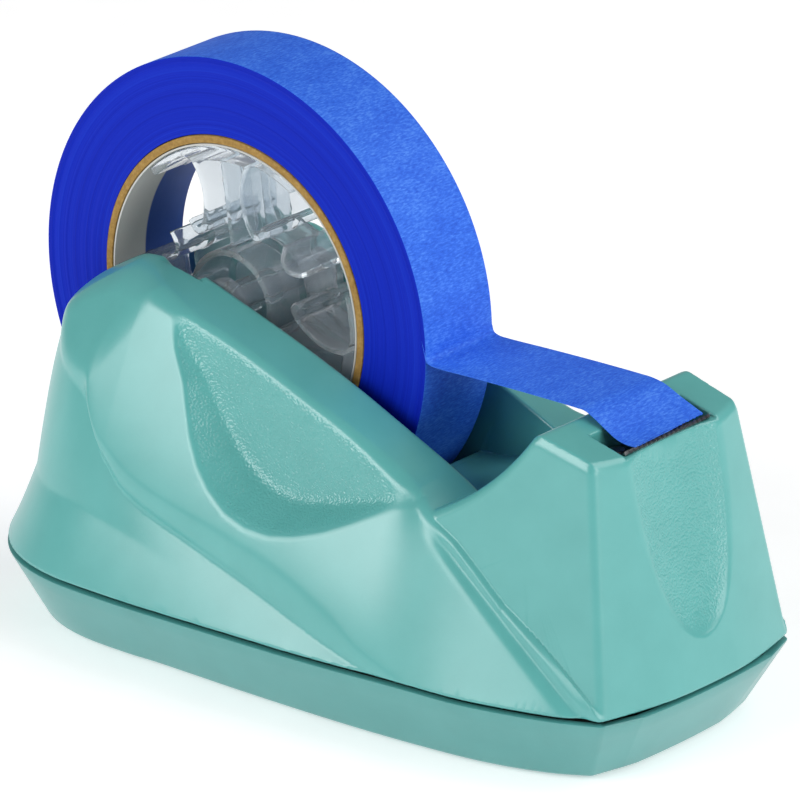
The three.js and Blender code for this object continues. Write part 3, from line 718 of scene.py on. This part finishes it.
# ---- tray, feet and screws
TRAY_TOP_Z = 17.0
TRAY_FLOOR = 2.5
TRAY_WALL = 2.6
TRAY_REAR_X, TRAY_REAR_HALF_WIDTH = -89.0, 44.9
SIDE_HALF_WIDTH = 54.1
FOOT_PLACES = [(-66, 24), (66, 21)]
FOOT_RADIUS, FOOT_DEPTH = 7.0, 1.0
TRAY_EDGE = 1.2
SIDE_END_X = (84.7, 93.2)       # here and below: at the tray's underside and at the sill
CORNER_X, CORNER_HALF_WIDTH = (86.9, 96.75), (19.1, 23.8)
FRONT_X, FRONT_SPREAD = (88.3, FRONT_FOOT_X), (1, 1.2)
SIDE_END_RADIUS, CORNER_RADIUS = 2.2, 4.0
SCREW_WELL_RADIUS, SCREW_WELL_DEPTH, SCREW_HOLE_RADIUS = 3.3, 2.0, 1.8
tray_half_width = curve_through([
    (-50, 44.9), (-42, 44.8), (-35.4, 44.3), (-4, 43.7), (26.4, 42.2), (52.5, 39.3), (65.5, 36.5),
    (77, 32.2), (84.7, 27.6),
])


def tray_outline(z, inset=0.0):
    """The tray's plan outline at a height, drawn in by an inset."""
    rise = z / SILL_Z

    def mix(low, high):
        return low + (high - low) * rise

    angle = np.linspace(0, math.pi / 2, 34)
    along, across = np.cos(angle) ** (2 / REAR_POWER), np.sin(angle) ** (2 / REAR_POWER)
    rear_length = mix(TRAY_REAR_X, REAR_X) - REAR_ROUND_X
    rear_width = mix(TRAY_REAR_HALF_WIDTH, SIDE_HALF_WIDTH)
    half = [(REAR_ROUND_X + rear_length * a, rear_width * b) for a, b in zip(along, across)]
    for part in np.linspace(0, 1, 48)[1:]:
        low_x, high_x = (REAR_ROUND_X + (end - REAR_ROUND_X) * part for end in SIDE_END_X)
        half.append((mix(low_x, high_x), mix(tray_half_width(low_x), sill_half_width(high_x))))
    half[-1] += (SIDE_END_RADIUS,)
    half.append((mix(*CORNER_X), mix(*CORNER_HALF_WIDTH), CORNER_RADIUS))
    for low_y in (15, 10, 5, 0):
        y = low_y * mix(*FRONT_SPREAD)
        half.append((mix(*FRONT_X) - FRONT_BOW * y * y, y))
    mirrored = [(x, -y) + tuple(more) for x, y, *more in half[1:-1]]
    corners = [(x, y) + tuple(more) for x, y, *more in half] + mirrored[::-1]
    rounded = []
    for i, corner in enumerate(corners):
        if len(corner) > 2:
            before, after = corners[i - 1][:2], corners[(i + 1) % len(corners)][:2]
            rounded += corner_arc(before, corner[:2], after, corner[2], 5)
        else:
            rounded.append(corner)
    ring = np.array(rounded)
    return np.column_stack([draw_in(ring, inset), np.full(len(ring), float(z))])


def draw_in(ring, inset):
    """Moves a closed plan outline inwards along its own normals."""
    ahead = np.roll(ring, -1, axis=0) - np.roll(ring, 1, axis=0)
    normal = np.stack([ahead[:, 1], -ahead[:, 0]], axis=1)
    normal /= np.linalg.norm(normal, axis=1, keepdims=True)
    towards_middle = np.sign(((ring - ring.mean(0)) * normal).sum(1).mean())
    return ring - normal * towards_middle * inset


def tray():
    turns = np.linspace(0, math.pi / 2, 6)
    rings = [tray_outline(TRAY_EDGE * (1 - math.cos(t)), TRAY_EDGE * (1 - math.sin(t))) for t in turns]
    rings += [tray_outline(z) for z in np.linspace(TRAY_EDGE, TRAY_TOP_Z - 0.5, 5)[1:]]
    rings += [tray_outline(TRAY_TOP_Z - 0.15, 0.15), tray_outline(TRAY_TOP_Z, 0.5)]
    rings += [tray_outline(TRAY_TOP_Z, TRAY_WALL - 0.3), tray_outline(TRAY_TOP_Z - 0.3, TRAY_WALL)]
    rings += [tray_outline(TRAY_FLOOR + 1, TRAY_WALL), tray_outline(TRAY_FLOOR, TRAY_WALL + 1)]
    item = skin("tray_body", rings)
    well = [(SCREW_WELL_RADIUS, -1), (SCREW_WELL_RADIUS, SCREW_WELL_DEPTH),
            (SCREW_HOLE_RADIUS, SCREW_WELL_DEPTH), (SCREW_HOLE_RADIUS, TRAY_FLOOR + 2)]
    seat = [(FOOT_RADIUS + 0.3, -1), (FOOT_RADIUS + 0.3, FOOT_DEPTH)]
    cutters = [turned_post("screw_well", place, well) for place in on_both_sides(SCREW_PLACES)]
    cutters += [turned_post("foot_seat", place, seat, 64) for place in on_both_sides(FOOT_PLACES)]
    cut_away(item, cutters)
    smooth(item, 30)
    return finish_piece(item, "base", "tray_plastic", "base_tray")


def tray_column(number, place):
    """A screw column standing on the tray's floor."""
    profile = [(PILOT_RADIUS, TRAY_FLOOR + 0.05), (BOSS_RADIUS + 0.6, TRAY_FLOOR + 0.05),
               (BOSS_RADIUS, TRAY_FLOOR + 0.8), (BOSS_RADIUS, TRAY_TOP_Z - 0.5),
               (BOSS_RADIUS - 0.4, TRAY_TOP_Z), (PILOT_RADIUS, TRAY_TOP_Z)]
    item = turned_post(f"tray_column_{number}", place, profile, closes=True)
    smooth(item)
    return finish_piece(item, "base", "tray_plastic")


def foot(number, place):
    """A stick-on rubber foot with a rounded, ringed tread."""
    bottom = -LIFT
    profile = [(FOOT_RADIUS - 2.2, bottom + 0.25), (FOOT_RADIUS - 2.0, bottom), (FOOT_RADIUS - 0.4, bottom),
               (FOOT_RADIUS - 0.1, bottom + 0.15), (FOOT_RADIUS, bottom + 0.4), (FOOT_RADIUS, 0.9)]
    inner = [(2.0, bottom + 0.25), (2.2, bottom), (4.0, bottom), (4.2, bottom + 0.25)]
    item = turned_post(f"rubber_foot_{number}", place, [(0.6, bottom + 0.25)] + inner + profile, 48)
    smooth(item)
    return finish_piece(item, "base", "foot_rubber", f"foot_{number}")


SCREW_SEAT_Z, SCREW_TIP_Z = 1.9, 27.0
SCREW_HEAD_RADIUS, SCREW_HEAD_HEIGHT = 3.0, 0.9
SCREW_SHAFT_RADIUS, SCREW_ROOT_RADIUS, SCREW_POINT_RADIUS = 1.5, 1.23, 1.2
SCREW_PITCH, SCREW_POINT_LENGTH = 0.9, 1.2
CROSS_REACH, CROSS_HALF_WIDTH, CROSS_DEPTH, CROSS_TAPER = 1.65, 0.32, 0.72, 0.45


def cross_cutter(centre):
    """Two tapered arms that cut the cross recess into a screw's downward head."""
    low = SCREW_SEAT_Z - SCREW_HEAD_HEIGHT - 0.2
    arms = []
    for half_x, half_y in ((CROSS_REACH, CROSS_HALF_WIDTH), (CROSS_HALF_WIDTH, CROSS_REACH)):
        corners = [(half_x, half_y), (-half_x, half_y), (-half_x, -half_y), (half_x, -half_y)]
        levels = [[(centre[0] + size * x, centre[1] + size * y, z) for x, y in corners]
                  for size, z in ((1, low), (CROSS_TAPER, low + CROSS_DEPTH))]
        arms.append(skin("cross_arm", levels))
    return arms


def tray_screw(number, place):
    """A cross-recessed pan-head screw, head down, that comes up through the tray into a boss."""
    dome = [(SCREW_HEAD_RADIUS * math.cos(t), SCREW_SEAT_Z - SCREW_HEAD_HEIGHT * math.sin(t))
            for t in np.linspace(0, math.pi / 2 * 0.93, 8)]
    point_z = SCREW_TIP_Z - SCREW_POINT_LENGTH
    profile = dome[::-1] + [(SCREW_ROOT_RADIUS, SCREW_SEAT_Z)]
    for turn in range(int((point_z - SCREW_SEAT_Z) / SCREW_PITCH)):
        z = SCREW_SEAT_Z + 0.4 + turn * SCREW_PITCH
        profile += [(SCREW_ROOT_RADIUS, z), (SCREW_SHAFT_RADIUS, z + SCREW_PITCH / 2)]
    profile += [(SCREW_POINT_RADIUS, point_z), (0.15, SCREW_TIP_Z)]
    item = turned_post(f"case_screw_{number}", place, profile, 24)
    cut_away(item, cross_cutter(place))
    smooth(item, 40)
    return finish_piece(item, "base", "screw_steel", f"tray_screw_{number}")


# ---- roll, core and liner
ROLL_INNER, ROLL_OUTER, ROLL_HALF_WIDTH = 40.5, 59.3, 12.0
CORE_INNER, CORE_OUTER, CORE_HALF_WIDTH = 38.4, 40.3, 12.2
LINER_INNER, LINER_OUTER = 37.7, 38.2


def tape_roll():
    """The wound tape: side faces with slightly uneven layers, and a plain tread."""
    layers = np.arange(ROLL_INNER + 0.2, ROLL_OUTER - 0.2, 0.26)
    chance = np.random.default_rng(7)
    stand = 0.05 * chance.standard_normal(len(layers)).cumsum()
    stand -= np.convolve(np.pad(stand, 6, mode="edge"), np.ones(13) / 13, "valid")
    stand = np.clip(stand, -0.14, 0.1) - 0.12
    stand[layers > ROLL_OUTER - 1.5] += 0.1
    near = [(r, -ROLL_HALF_WIDTH - off) for r, off in zip(layers, stand)]
    far = [(r, ROLL_HALF_WIDTH + off) for r, off in zip(layers, stand[::-1])]
    edge = ROLL_HALF_WIDTH - 0.1
    tread = [(ROLL_OUTER - 0.06, -edge), (ROLL_OUTER, -edge + 0.15)]
    tread += [(ROLL_OUTER, y) for y in np.linspace(-edge + 1, edge - 1, 6)]
    tread += [(ROLL_OUTER, edge - 0.15), (ROLL_OUTER - 0.06, edge)]
    profile = [(ROLL_INNER, -edge)] + near + tread + far[::-1] + [(ROLL_INNER, edge)]
    item = lathe("roll_of_tape", profile, 224)
    item.data.set_sharp_from_angle(angle=math.radians(60))
    finish_piece(item, "reel", "tape_paper", "tape_roll")
    item.data.materials.append(LOOKS["tail_paper"])
    for face in item.data.polygons:
        x, y, z = face.center / MM
        if math.hypot(x - AXLE_X, z - LIFT - AXLE_Z) > ROLL_OUTER - 0.1:
            face.material_index = 1
    return item


def ring_piece(name, corners, fillet, steps, segments, body, slot, node):
    """A ring round the axle, from the corners of its (radius, y) outline."""
    item = lathe(name, round_corners(corners, fillet, steps), segments)
    return finish_piece(item, body, slot, node)


def paper_ring(name, inner, outer, half_width, fillet, slot, node):
    corners = [(inner, -half_width), (outer, -half_width), (outer, half_width), (inner, half_width)]
    return ring_piece(name, corners, fillet, 3, 160, "reel", slot, node)


# ---- free end of the tape
TAIL_NEAR = [
    (19.9, 86.0), (20.75, 82.9), (21.3, 81.2), (22.7, 80.6), (25.7, 80.5), (34.8, 80.9), (49.8, 81.4),
    (66.2, 81.7), (68.9, 81.6), (71.8, 80.4), (74.5, 78.9), (78.1, 77.1), (81, 76.5), (84.1, 76.6),
]
TAIL_FAR = [
    (19.9, 86.0), (20.85, 83.2), (21.5, 81.6), (23.2, 81.0), (26.5, 81.0), (38.7, 81.6), (53.7, 82.2),
    (65.7, 82.5), (69.2, 82.5), (72.8, 81.9), (77.5, 80), (80.5, 78.9), (82.4, 78.2), (84.4, 77.5),
]
TAIL_THICKNESS, TAIL_CUP = 0.16, 0.35
TOOTH_DEPTH, TOOTH_COLUMNS, TEAR_DEPTH = 0.35, 3, 0.22
TAIL_STEPS, TAIL_ACROSS = 150, 61


def along_curve(points, count):
    """Points evenly spaced along a smooth curve through the given ones."""
    points = np.array(points, float)
    gaps = np.linalg.norm(np.diff(points, axis=0), axis=1) ** 0.5
    knots = np.concatenate([[0], np.cumsum(gaps)])
    slope = np.gradient(points, knots, axis=0)
    fine = np.linspace(0, knots[-1], 1500)
    i = np.clip(np.searchsorted(knots, fine, "right") - 1, 0, len(knots) - 2)
    span = (knots[i + 1] - knots[i])[:, None]
    u = ((fine - knots[i])[:, None]) / span
    curve = ((1 + 2 * u) * (1 - u) ** 2 * points[i] + u * (1 - u) ** 2 * span * slope[i]
             + u * u * (3 - 2 * u) * points[i + 1] - u * u * (1 - u) * span * slope[i + 1])
    length = np.concatenate([[0], np.cumsum(np.linalg.norm(np.diff(curve, axis=0), axis=1))])
    wanted = np.linspace(0, length[-1], count)
    return np.stack([np.interp(wanted, length, curve[:, axis]) for axis in (0, 1)], axis=1)


def tail_column(near, far, part, torn_back):
    """The upper and lower line along the strip at a part of the way across it."""
    line = near + (far - near) * part
    heading = np.gradient(line, axis=0)
    heading /= np.linalg.norm(heading, axis=1, keepdims=True)
    up = np.stack([-heading[:, 1], heading[:, 0]], axis=1)
    share = np.linspace(0, 1, TAIL_STEPS)
    cup = TAIL_CUP * (1 - (2 * part - 1) ** 2)
    cup = cup * smooth_step(share, 0.15, 0.5) * (1 - smooth_step(share, 0.8, 1))
    line = line + up * cup[:, None]
    line = line - heading * (torn_back * smooth_step(share, 0.975, 1))[:, None]
    thick = TAIL_THICKNESS * (0.25 + 0.75 * smooth_step(share, 0, 0.05))
    y = np.full(TAIL_STEPS, -ROLL_HALF_WIDTH + 2 * ROLL_HALF_WIDTH * part)
    return [np.column_stack([side[:, 0], y, side[:, 1]]) for side in (line + up * thick[:, None], line)]


def tape_tail():
    """The strip from the roll to the blade, with a torn, toothed end and a slight twist."""
    near, far = along_curve(TAIL_NEAR, TAIL_STEPS), along_curve(TAIL_FAR, TAIL_STEPS)
    tear = TEAR_DEPTH * np.random.default_rng(11).random(TAIL_ACROSS)
    columns = []
    for column in range(TAIL_ACROSS):
        tooth = TOOTH_DEPTH * abs(((column / TOOTH_COLUMNS) % 1) - 0.5) * 2
        columns.append(tail_column(near, far, column / (TAIL_ACROSS - 1), tooth + tear[column]))
    top, bottom = (np.array(side) for side in zip(*columns))
    item = skin("tape_end", np.concatenate([top, bottom[::-1]]).swapaxes(0, 1))
    smooth(item, 50)
    return finish_piece(item, "roll_carrier", "tail_paper", "tape_tail")


# ---- clear hub
DRUM_RADIUS, DRUM_WALL, DRUM_HALF_LENGTH = 12.7, 1.6, 13.0
DRUM_TUBE, DRUM_BORE, DRUM_WEB = 4.2, 2.5, 1.0
AXLE_RADIUS, AXLE_HALF_LENGTH = 2.2, 18.7
SLEEVE_INNER, SLEEVE_OUTER = 12.85, 14.6
PAD_INNER, PAD_OUTER, PAD_HALF_ANGLE = 35.4, 37.4, math.radians(37.5)
ADAPTER_HALF_WIDTH = 11.6
SPOKE_START, SPOKE_COUNT = math.radians(98), 3
SPOKE_WAIST, SPOKE_WAIST_AT, SPOKE_SIDE_RADIUS = 6.6, 24.5, 15.5
RIB = 1.5
ADAPTER_TRIANGLES = 90000


def axle_pin():
    end, radius = AXLE_HALF_LENGTH, AXLE_RADIUS
    corners = [(0.05, -end), (radius, -end, 0.6), (radius, end, 0.6), (0.05, end)]
    return ring_piece("axle_rod", corners, 0.02, 4, 64, "roll_carrier", "clear_plastic", "axle")


def axle_shoulder(side, node):
    inner, outer = sorted((side * 13.4, side * 16.6))
    bore = AXLE_RADIUS + 0.05
    corners = [(bore, inner), (6.2, inner), (6.2, outer), (bore, outer)]
    name = "collar_" + node.split("_")[-1]
    return ring_piece(name, corners, 0.35, 4, 64, "roll_carrier", "clear_plastic", node)


def hub_drum():
    inside, end = DRUM_RADIUS - DRUM_WALL, DRUM_HALF_LENGTH
    corners = [
        (DRUM_BORE, -end), (DRUM_TUBE, -end), (DRUM_TUBE, -DRUM_WEB, 0.8), (inside, -DRUM_WEB, 0.8),
        (inside, -end), (DRUM_RADIUS, -end), (DRUM_RADIUS, end), (inside, end),
        (inside, DRUM_WEB, 0.8), (DRUM_TUBE, DRUM_WEB, 0.8), (DRUM_TUBE, end), (DRUM_BORE, end),
    ]
    return ring_piece("drum", corners, 0.3, 3, 96, "reel", "clear_plastic", "hub_drum")


def adapter_outline(u, v):
    """Signed distance to one spoke with its pad, in its own frame, u outwards and v across."""
    radius = np.hypot(u, v)
    reach = np.hypot(u - SPOKE_WAIST_AT, np.abs(v) - SPOKE_WAIST - SPOKE_SIDE_RADIUS)
    flank = SPOKE_SIDE_RADIUS - reach
    flank = np.where(np.abs(v) > SPOKE_WAIST + SPOKE_SIDE_RADIUS, 3.0, flank)
    spoke = np.maximum(flank, np.maximum(radius - PAD_INNER, -u))
    angle = np.abs(np.arctan2(v, u))
    pad = np.maximum(np.maximum(radius - PAD_OUTER, PAD_INNER - radius), (angle - PAD_HALF_ANGLE) * radius)
    return round_min(spoke, pad, 1.5)


def adapter_field(x, y, z):
    y = np.abs(y)
    dx, dz = x - AXLE_X, z - AXLE_Z
    radius = np.hypot(dx, dz)
    outline = radius - SLEEVE_OUTER
    rib = np.full(radius.shape, 50.0)
    for number in range(SPOKE_COUNT):
        turn = SPOKE_START + number * 2 * math.pi / SPOKE_COUNT
        u = dx * math.cos(turn) + dz * math.sin(turn)
        v = -dx * math.sin(turn) + dz * math.cos(turn)
        outline = round_min(outline, adapter_outline(u, v), 2.0)
        rib = np.minimum(rib, np.maximum(np.abs(v) - RIB / 2, -u))
    shelled = np.maximum(outline, -(outline + RIB))
    web = np.maximum(outline, y - 0.8)
    ribs = np.maximum(np.maximum(outline, rib), y - ADAPTER_HALF_WIDTH + 1.2)
    form = round_min(np.minimum(shelled, ribs), web, 0.6)
    form = round_max(form, SLEEVE_INNER - radius, 0.3)
    return round_max(form, y - ADAPTER_HALF_WIDTH, 0.4)


def core_adapter():
    step = 0.55
    reach, margin = PAD_OUTER + 1.5, 1.5
    low = (AXLE_X - reach, 0, AXLE_Z - reach)
    high = (AXLE_X + reach, ADAPTER_HALF_WIDTH + margin, AXLE_Z + reach)
    item = net_object("adapter", adapter_field, mirrored_axes(low, high, step), step, ADAPTER_TRIANGLES)
    return finish_piece(item, "reel", "clear_plastic", "core_adapter")


# ---- materials
def srgb(red, green, blue):
    """Linear colour from sRGB parts in 0 to 255."""
    def linear(part):
        part /= 255
        return part / 12.92 if part <= 0.04045 else ((part + 0.055) / 1.055) ** 2.4
    return (linear(red), linear(green), linear(blue), 1)


class Nodes:
    """A material's node tree, with short ways to add and join nodes."""

    def __init__(self, name):
        self.material = bpy.data.materials.new(name)
        self.material.use_nodes = True
        self.tree = self.material.node_tree
        self.shader = self.tree.nodes["Principled BSDF"]

    def add(self, kind, values=None, **settings):
        node = self.tree.nodes.new("ShaderNode" + kind)
        for key, value in settings.items():
            setattr(node, key, value)
        for key, value in (values or {}).items():
            node.inputs[key].default_value = value
        return node

    def join(self, source, target):
        self.tree.links.new(source, target)

    def set(self, **values):
        for key, value in values.items():
            self.shader.inputs[key.replace("_", " ")].default_value = value

    def place(self, scale=(1, 1, 1), shift=(0, 0, 0)):
        """Object coordinates in metres, shifted and then scaled."""
        where = self.add("TexCoord")
        mapping = self.add("Mapping", {"Scale": scale, "Location": shift})
        self.join(where.outputs["Object"], mapping.inputs["Vector"])
        return mapping.outputs["Vector"]

    def noise(self, where, scale, detail=3, roughness=0.55):
        node = self.add("TexNoise", {"Scale": scale, "Detail": detail, "Roughness": roughness})
        self.join(where, node.inputs["Vector"])
        return node.outputs["Fac"]

    def tint(self, source, stops):
        """Colours the surface by a value, through (value, colour) stops."""
        node = self.add("ValToRGB")
        parts = node.color_ramp.elements
        while len(parts) < len(stops):
            parts.new(0.5)
        for part, (at, colour) in zip(parts, stops):
            part.position = at
            part.color = colour
        self.join(source, node.inputs["Fac"])
        self.join(node.outputs["Color"], self.shader.inputs["Base Color"])

    def math(self, kind, *sources):
        node = self.add("Math", operation=kind)
        for socket, source in zip(node.inputs, sources):
            if isinstance(source, (int, float)):
                socket.default_value = source
            else:
                self.join(source, socket)
        return node.outputs[0]

    def blend(self, a, share, b):
        """A share of one value and the rest of another."""
        return self.math("ADD", self.math("MULTIPLY", a, share), self.math("MULTIPLY", b, 1 - share))

    def radius(self):
        """Distance from the axle, in metres."""
        flat = self.place((1, 0, 1), (-AXLE_X * MM, 0, -(AXLE_Z + LIFT) * MM))
        node = self.add("VectorMath", operation="LENGTH")
        self.join(flat, node.inputs[0])
        return node.outputs["Value"]

    def bump(self, height, distance, strength):
        node = self.add("Bump", {"Distance": distance, "Strength": strength})
        self.join(height, node.inputs["Height"])
        self.join(node.outputs["Normal"], self.shader.inputs["Normal"])


def teal_plastic(name, dark, light):
    """Satin moulded plastic, which turns leathery where the mesh carries a grain value."""
    made = Nodes(name)
    where = made.place()
    made.tint(made.noise(where, 90, 4), [(0.3, dark), (0.7, light)])
    made.set(Roughness=0.28, IOR=1.5, Specular_IOR_Level=0.8)
    speck = made.noise(where, 1700, 2)
    cells = made.add("TexVoronoi", {"Scale": 1850.0}, feature="SMOOTH_F1")
    made.join(where, cells.inputs["Vector"])
    leather = made.add("Attribute", attribute_name="grain")
    pebble = made.math("MULTIPLY", cells.outputs["Distance"], -1.0)
    pebble = made.math("MULTIPLY", pebble, leather.outputs["Fac"])
    height = made.math("ADD", made.math("MULTIPLY", speck, 0.05), pebble)
    made.bump(height, 0.00024, 0.75)
    return made.material


def tape_tread():
    """Creped paper: fine wrinkles across the strip and a matte, speckled dye."""
    made = Nodes("tape_tread")
    crepe = made.noise(made.place((1, 0.28, 1)), 2400, 4, 0.6)
    cloud = made.noise(made.place((1, 0.5, 1)), 160, 3)
    dye = [(0.3, srgb(30, 82, 205)), (0.5, srgb(48, 108, 228)), (0.7, srgb(84, 144, 244))]
    made.tint(made.blend(crepe, 0.75, cloud), dye)
    made.set(Roughness=0.6, IOR=1.45, Specular_IOR_Level=0.3)
    made.bump(crepe, 0.00016, 0.5)
    return made.material


def tape_side():
    """The cut edges of the wound layers: deep blue with fine rings."""
    made = Nodes("tape_side")
    radius = made.radius()
    line = made.add("CombineXYZ")
    made.join(radius, line.inputs["X"])
    rings = made.noise(line.outputs["Vector"], 2600, 3, 0.7)
    broad = made.noise(line.outputs["Vector"], 330, 2)
    dye = [(0.3, srgb(0, 22, 150)), (0.5, srgb(6, 36, 178)), (0.72, srgb(20, 56, 196))]
    made.tint(made.blend(rings, 0.55, broad), dye)
    made.set(Roughness=0.6, IOR=1.4, Specular_IOR_Level=0.15)
    made.bump(rings, 0.00006, 0.4)
    return made.material


def grained(name, stops, scale, bump, stretch=(1, 1, 1), detail=4, roughness=0.6, **look):
    """A material whose speckled colour stands in slight relief."""
    made = Nodes(name)
    grain = made.noise(made.place(stretch), scale, detail, roughness)
    made.tint(grain, stops)
    made.set(**look)
    made.bump(grain, *bump)
    return made.material


def cardboard():
    stops = [(0.25, srgb(132, 98, 44)), (0.55, srgb(162, 128, 66)), (0.8, srgb(186, 154, 96))]
    return grained("cardboard", stops, 900, (0.0003, 0.7), (1, 0.4, 1), 4, 0.7, Roughness=0.88)


def metal(name, dark, light, roughness, streak):
    stops = [(0.3, dark), (0.7, light)]
    return grained(name, stops, 900, (0.00012, 0.5), streak, 3, Metallic=1.0, Roughness=roughness)


def matte(name, dark, light, roughness, scale, depth):
    return grained(name, [(0.3, dark), (0.7, light)], scale, (depth, 0.7), Roughness=roughness)


def liner_paper():
    """Pale paper in the core with a plain blue band round its far half."""
    made = Nodes("liner_paper")
    across = made.add("SeparateXYZ")
    made.join(made.place(), across.inputs["Vector"])
    band = made.math("ADD", made.math("MULTIPLY", across.outputs["Y"], 40.0), 0.5)
    made.tint(band, [(0.44, srgb(192, 193, 189)), (0.46, srgb(42, 74, 150))])
    made.set(Roughness=0.6)
    made.bump(made.noise(made.place(), 500), 0.0001, 0.5)
    return made.material


def clear_plastic():
    made = Nodes("clear_plastic")
    haze = made.noise(made.place(), 60, 2)
    made.tint(haze, [(0.3, srgb(228, 236, 242)), (0.7, srgb(238, 244, 248))])
    made.set(Roughness=0.1, IOR=1.08, Transmission_Weight=0.88, Coat_Weight=0.6, Coat_Roughness=0.08)
    return made.material


def shade(item, material):
    item.data.materials.clear()
    item.data.materials.append(material)


LOOKS = {                       # by finish, as the record names them
    "shell_plastic": teal_plastic("shell_teal", srgb(85, 166, 162), srgb(91, 172, 168)),
    # The tray takes the shell's teal darkened, as painted shade for its slightly downward-facing sides, not a
    # colour of its own.
    "tray_plastic": teal_plastic("tray_teal_painted_shade", srgb(76, 148, 145), srgb(81, 154, 151)),
    "foot_rubber": matte("rubber", srgb(26, 27, 28), srgb(44, 45, 46), 0.85, 700, 0.0002),
    "screw_steel": metal("screw_steel", srgb(150, 150, 150), srgb(205, 205, 205), 0.28, (1, 1, 1)),
    "tape_paper": tape_side(),
    "tail_paper": tape_tread(),
    "core_board": cardboard(),
    "liner_paper": liner_paper(),
    "clear_plastic": clear_plastic(),
    "blade_steel": metal("blade_steel", srgb(70, 72, 74), srgb(150, 152, 155), 0.3, (1, 0.1, 1)),
    "holder_plastic": matte("holder_plastic", srgb(34, 36, 38), srgb(52, 54, 57), 0.55, 900, 0.0001),
    "ballast_iron": matte("cast_iron", srgb(92, 92, 90), srgb(128, 127, 124), 0.85, 260, 0.0008),
}
KEPT_NODES = {                  # CAD nodes that stay as they are, under a better material
    "cutter_blade": "blade_steel", "blade_screw_near": "screw_steel", "blade_screw_far": "screw_steel",
    "blade_holder": "holder_plastic", "ballast_rear": "ballast_iron", "ballast_front": "ballast_iron",
}


def shade_kept_nodes():
    for name, slot in KEPT_NODES.items():
        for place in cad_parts[name].material_slots:
            place.material = LOOKS[slot]


# ---- studio
TARGET = (0.003, 0.0, 0.0639)
CAMERA_AZIMUTH, CAMERA_ELEVATION = 40.73, 21.96         # in degrees
CAMERA_DISTANCE = 2.1816
SOFTBOXES = {                   # direction from the target, distance, size and power
    "key": ((-0.47, -0.76, 0.44), 1.3, (0.6, 0.64), 5.2),
    "front": ((-0.14, -0.9, 0.42), 1.4, (0.62, 0.55), 4.4),
    "right": ((0.95, -0.02, 0.34), 1.4, (0.8, 0.8), 7.4),
    "far": ((0.6, 0.5, 0.9), 1.6, (1.2, 1.2), 10.5),
}
ROOM_LIGHT, FLOOR_GLOW = 0.26, 0.4


def direction(azimuth, elevation):
    """Unit vector towards a place at an azimuth from -Y towards +X, both in degrees."""
    a, e = math.radians(azimuth), math.radians(elevation)
    return Vector((math.sin(a) * math.cos(e), -math.cos(a) * math.cos(e), math.sin(e)))


def placed(name, data, towards, distance):
    """A camera or lamp that looks at the target from some way off."""
    item = bpy.data.objects.new(name, data)
    bpy.context.scene.collection.objects.link(item)
    item.location = Vector(TARGET) + Vector(towards).normalized() * distance
    item.rotation_euler = (Vector(TARGET) - item.location).to_track_quat("-Z", "Y").to_euler()
    return item


def camera():
    data = bpy.data.cameras.new("camera")
    data.lens = 420
    data.sensor_width = 36
    data.clip_end = 20
    towards = direction(CAMERA_AZIMUTH, CAMERA_ELEVATION)
    bpy.context.scene.camera = placed("camera", data, towards, CAMERA_DISTANCE)


def softbox(name, towards, distance, size, power):
    data = bpy.data.lights.new(name, "AREA")
    data.shape = "RECTANGLE"
    data.size, data.size_y = size
    data.energy = power
    placed(name, data, towards, distance)


def studio():
    bpy.context.scene.view_settings.view_transform = "Standard"
    for name, light in SOFTBOXES.items():
        softbox(name, *light)
    world = bpy.data.worlds.new("room")
    world.use_nodes = True
    sky = world.node_tree.nodes["Background"].inputs
    sky["Color"].default_value = (1, 1, 1, 1)
    sky["Strength"].default_value = ROOM_LIGHT
    bpy.context.scene.world = world


def floor():
    bpy.ops.mesh.primitive_plane_add(size=6, location=(0, 0, 0))
    item = bpy.context.object
    item.name = "floor"
    made = Nodes("floor_paper")
    made.tint(made.noise(made.place(), 40), [(0.3, (0.86, 0.86, 0.86, 1)), (0.7, (0.9, 0.9, 0.9, 1))])
    made.set(Roughness=0.9, Emission_Color=(1, 1, 1, 1), Emission_Strength=FLOOR_GLOW)
    shade(item, made.material)


def build():
    camera()
    studio()
    floor()
    body_shell()
    tray()
    for number, place in enumerate(on_both_sides(SCREW_PLACES), 1):
        tray_column(number, place)
    for number, place in enumerate(on_both_sides(FOOT_PLACES), 1):
        foot(number, place)
    for number, place in enumerate(on_both_sides(SCREW_PLACES), 1):
        tray_screw(number, place)
    tape_roll()
    tape_tail()
    paper_ring("core", CORE_INNER, CORE_OUTER, CORE_HALF_WIDTH, 0.25, "core_board", "cardboard_core")
    paper_ring("bore_lining", LINER_INNER, LINER_OUTER, 12, 0.1, "liner_paper", "core_liner")
    axle_pin()
    axle_shoulder(-1, "axle_shoulder_near")
    axle_shoulder(1, "axle_shoulder_far")
    hub_drum()
    core_adapter()
    shade_kept_nodes()


build()
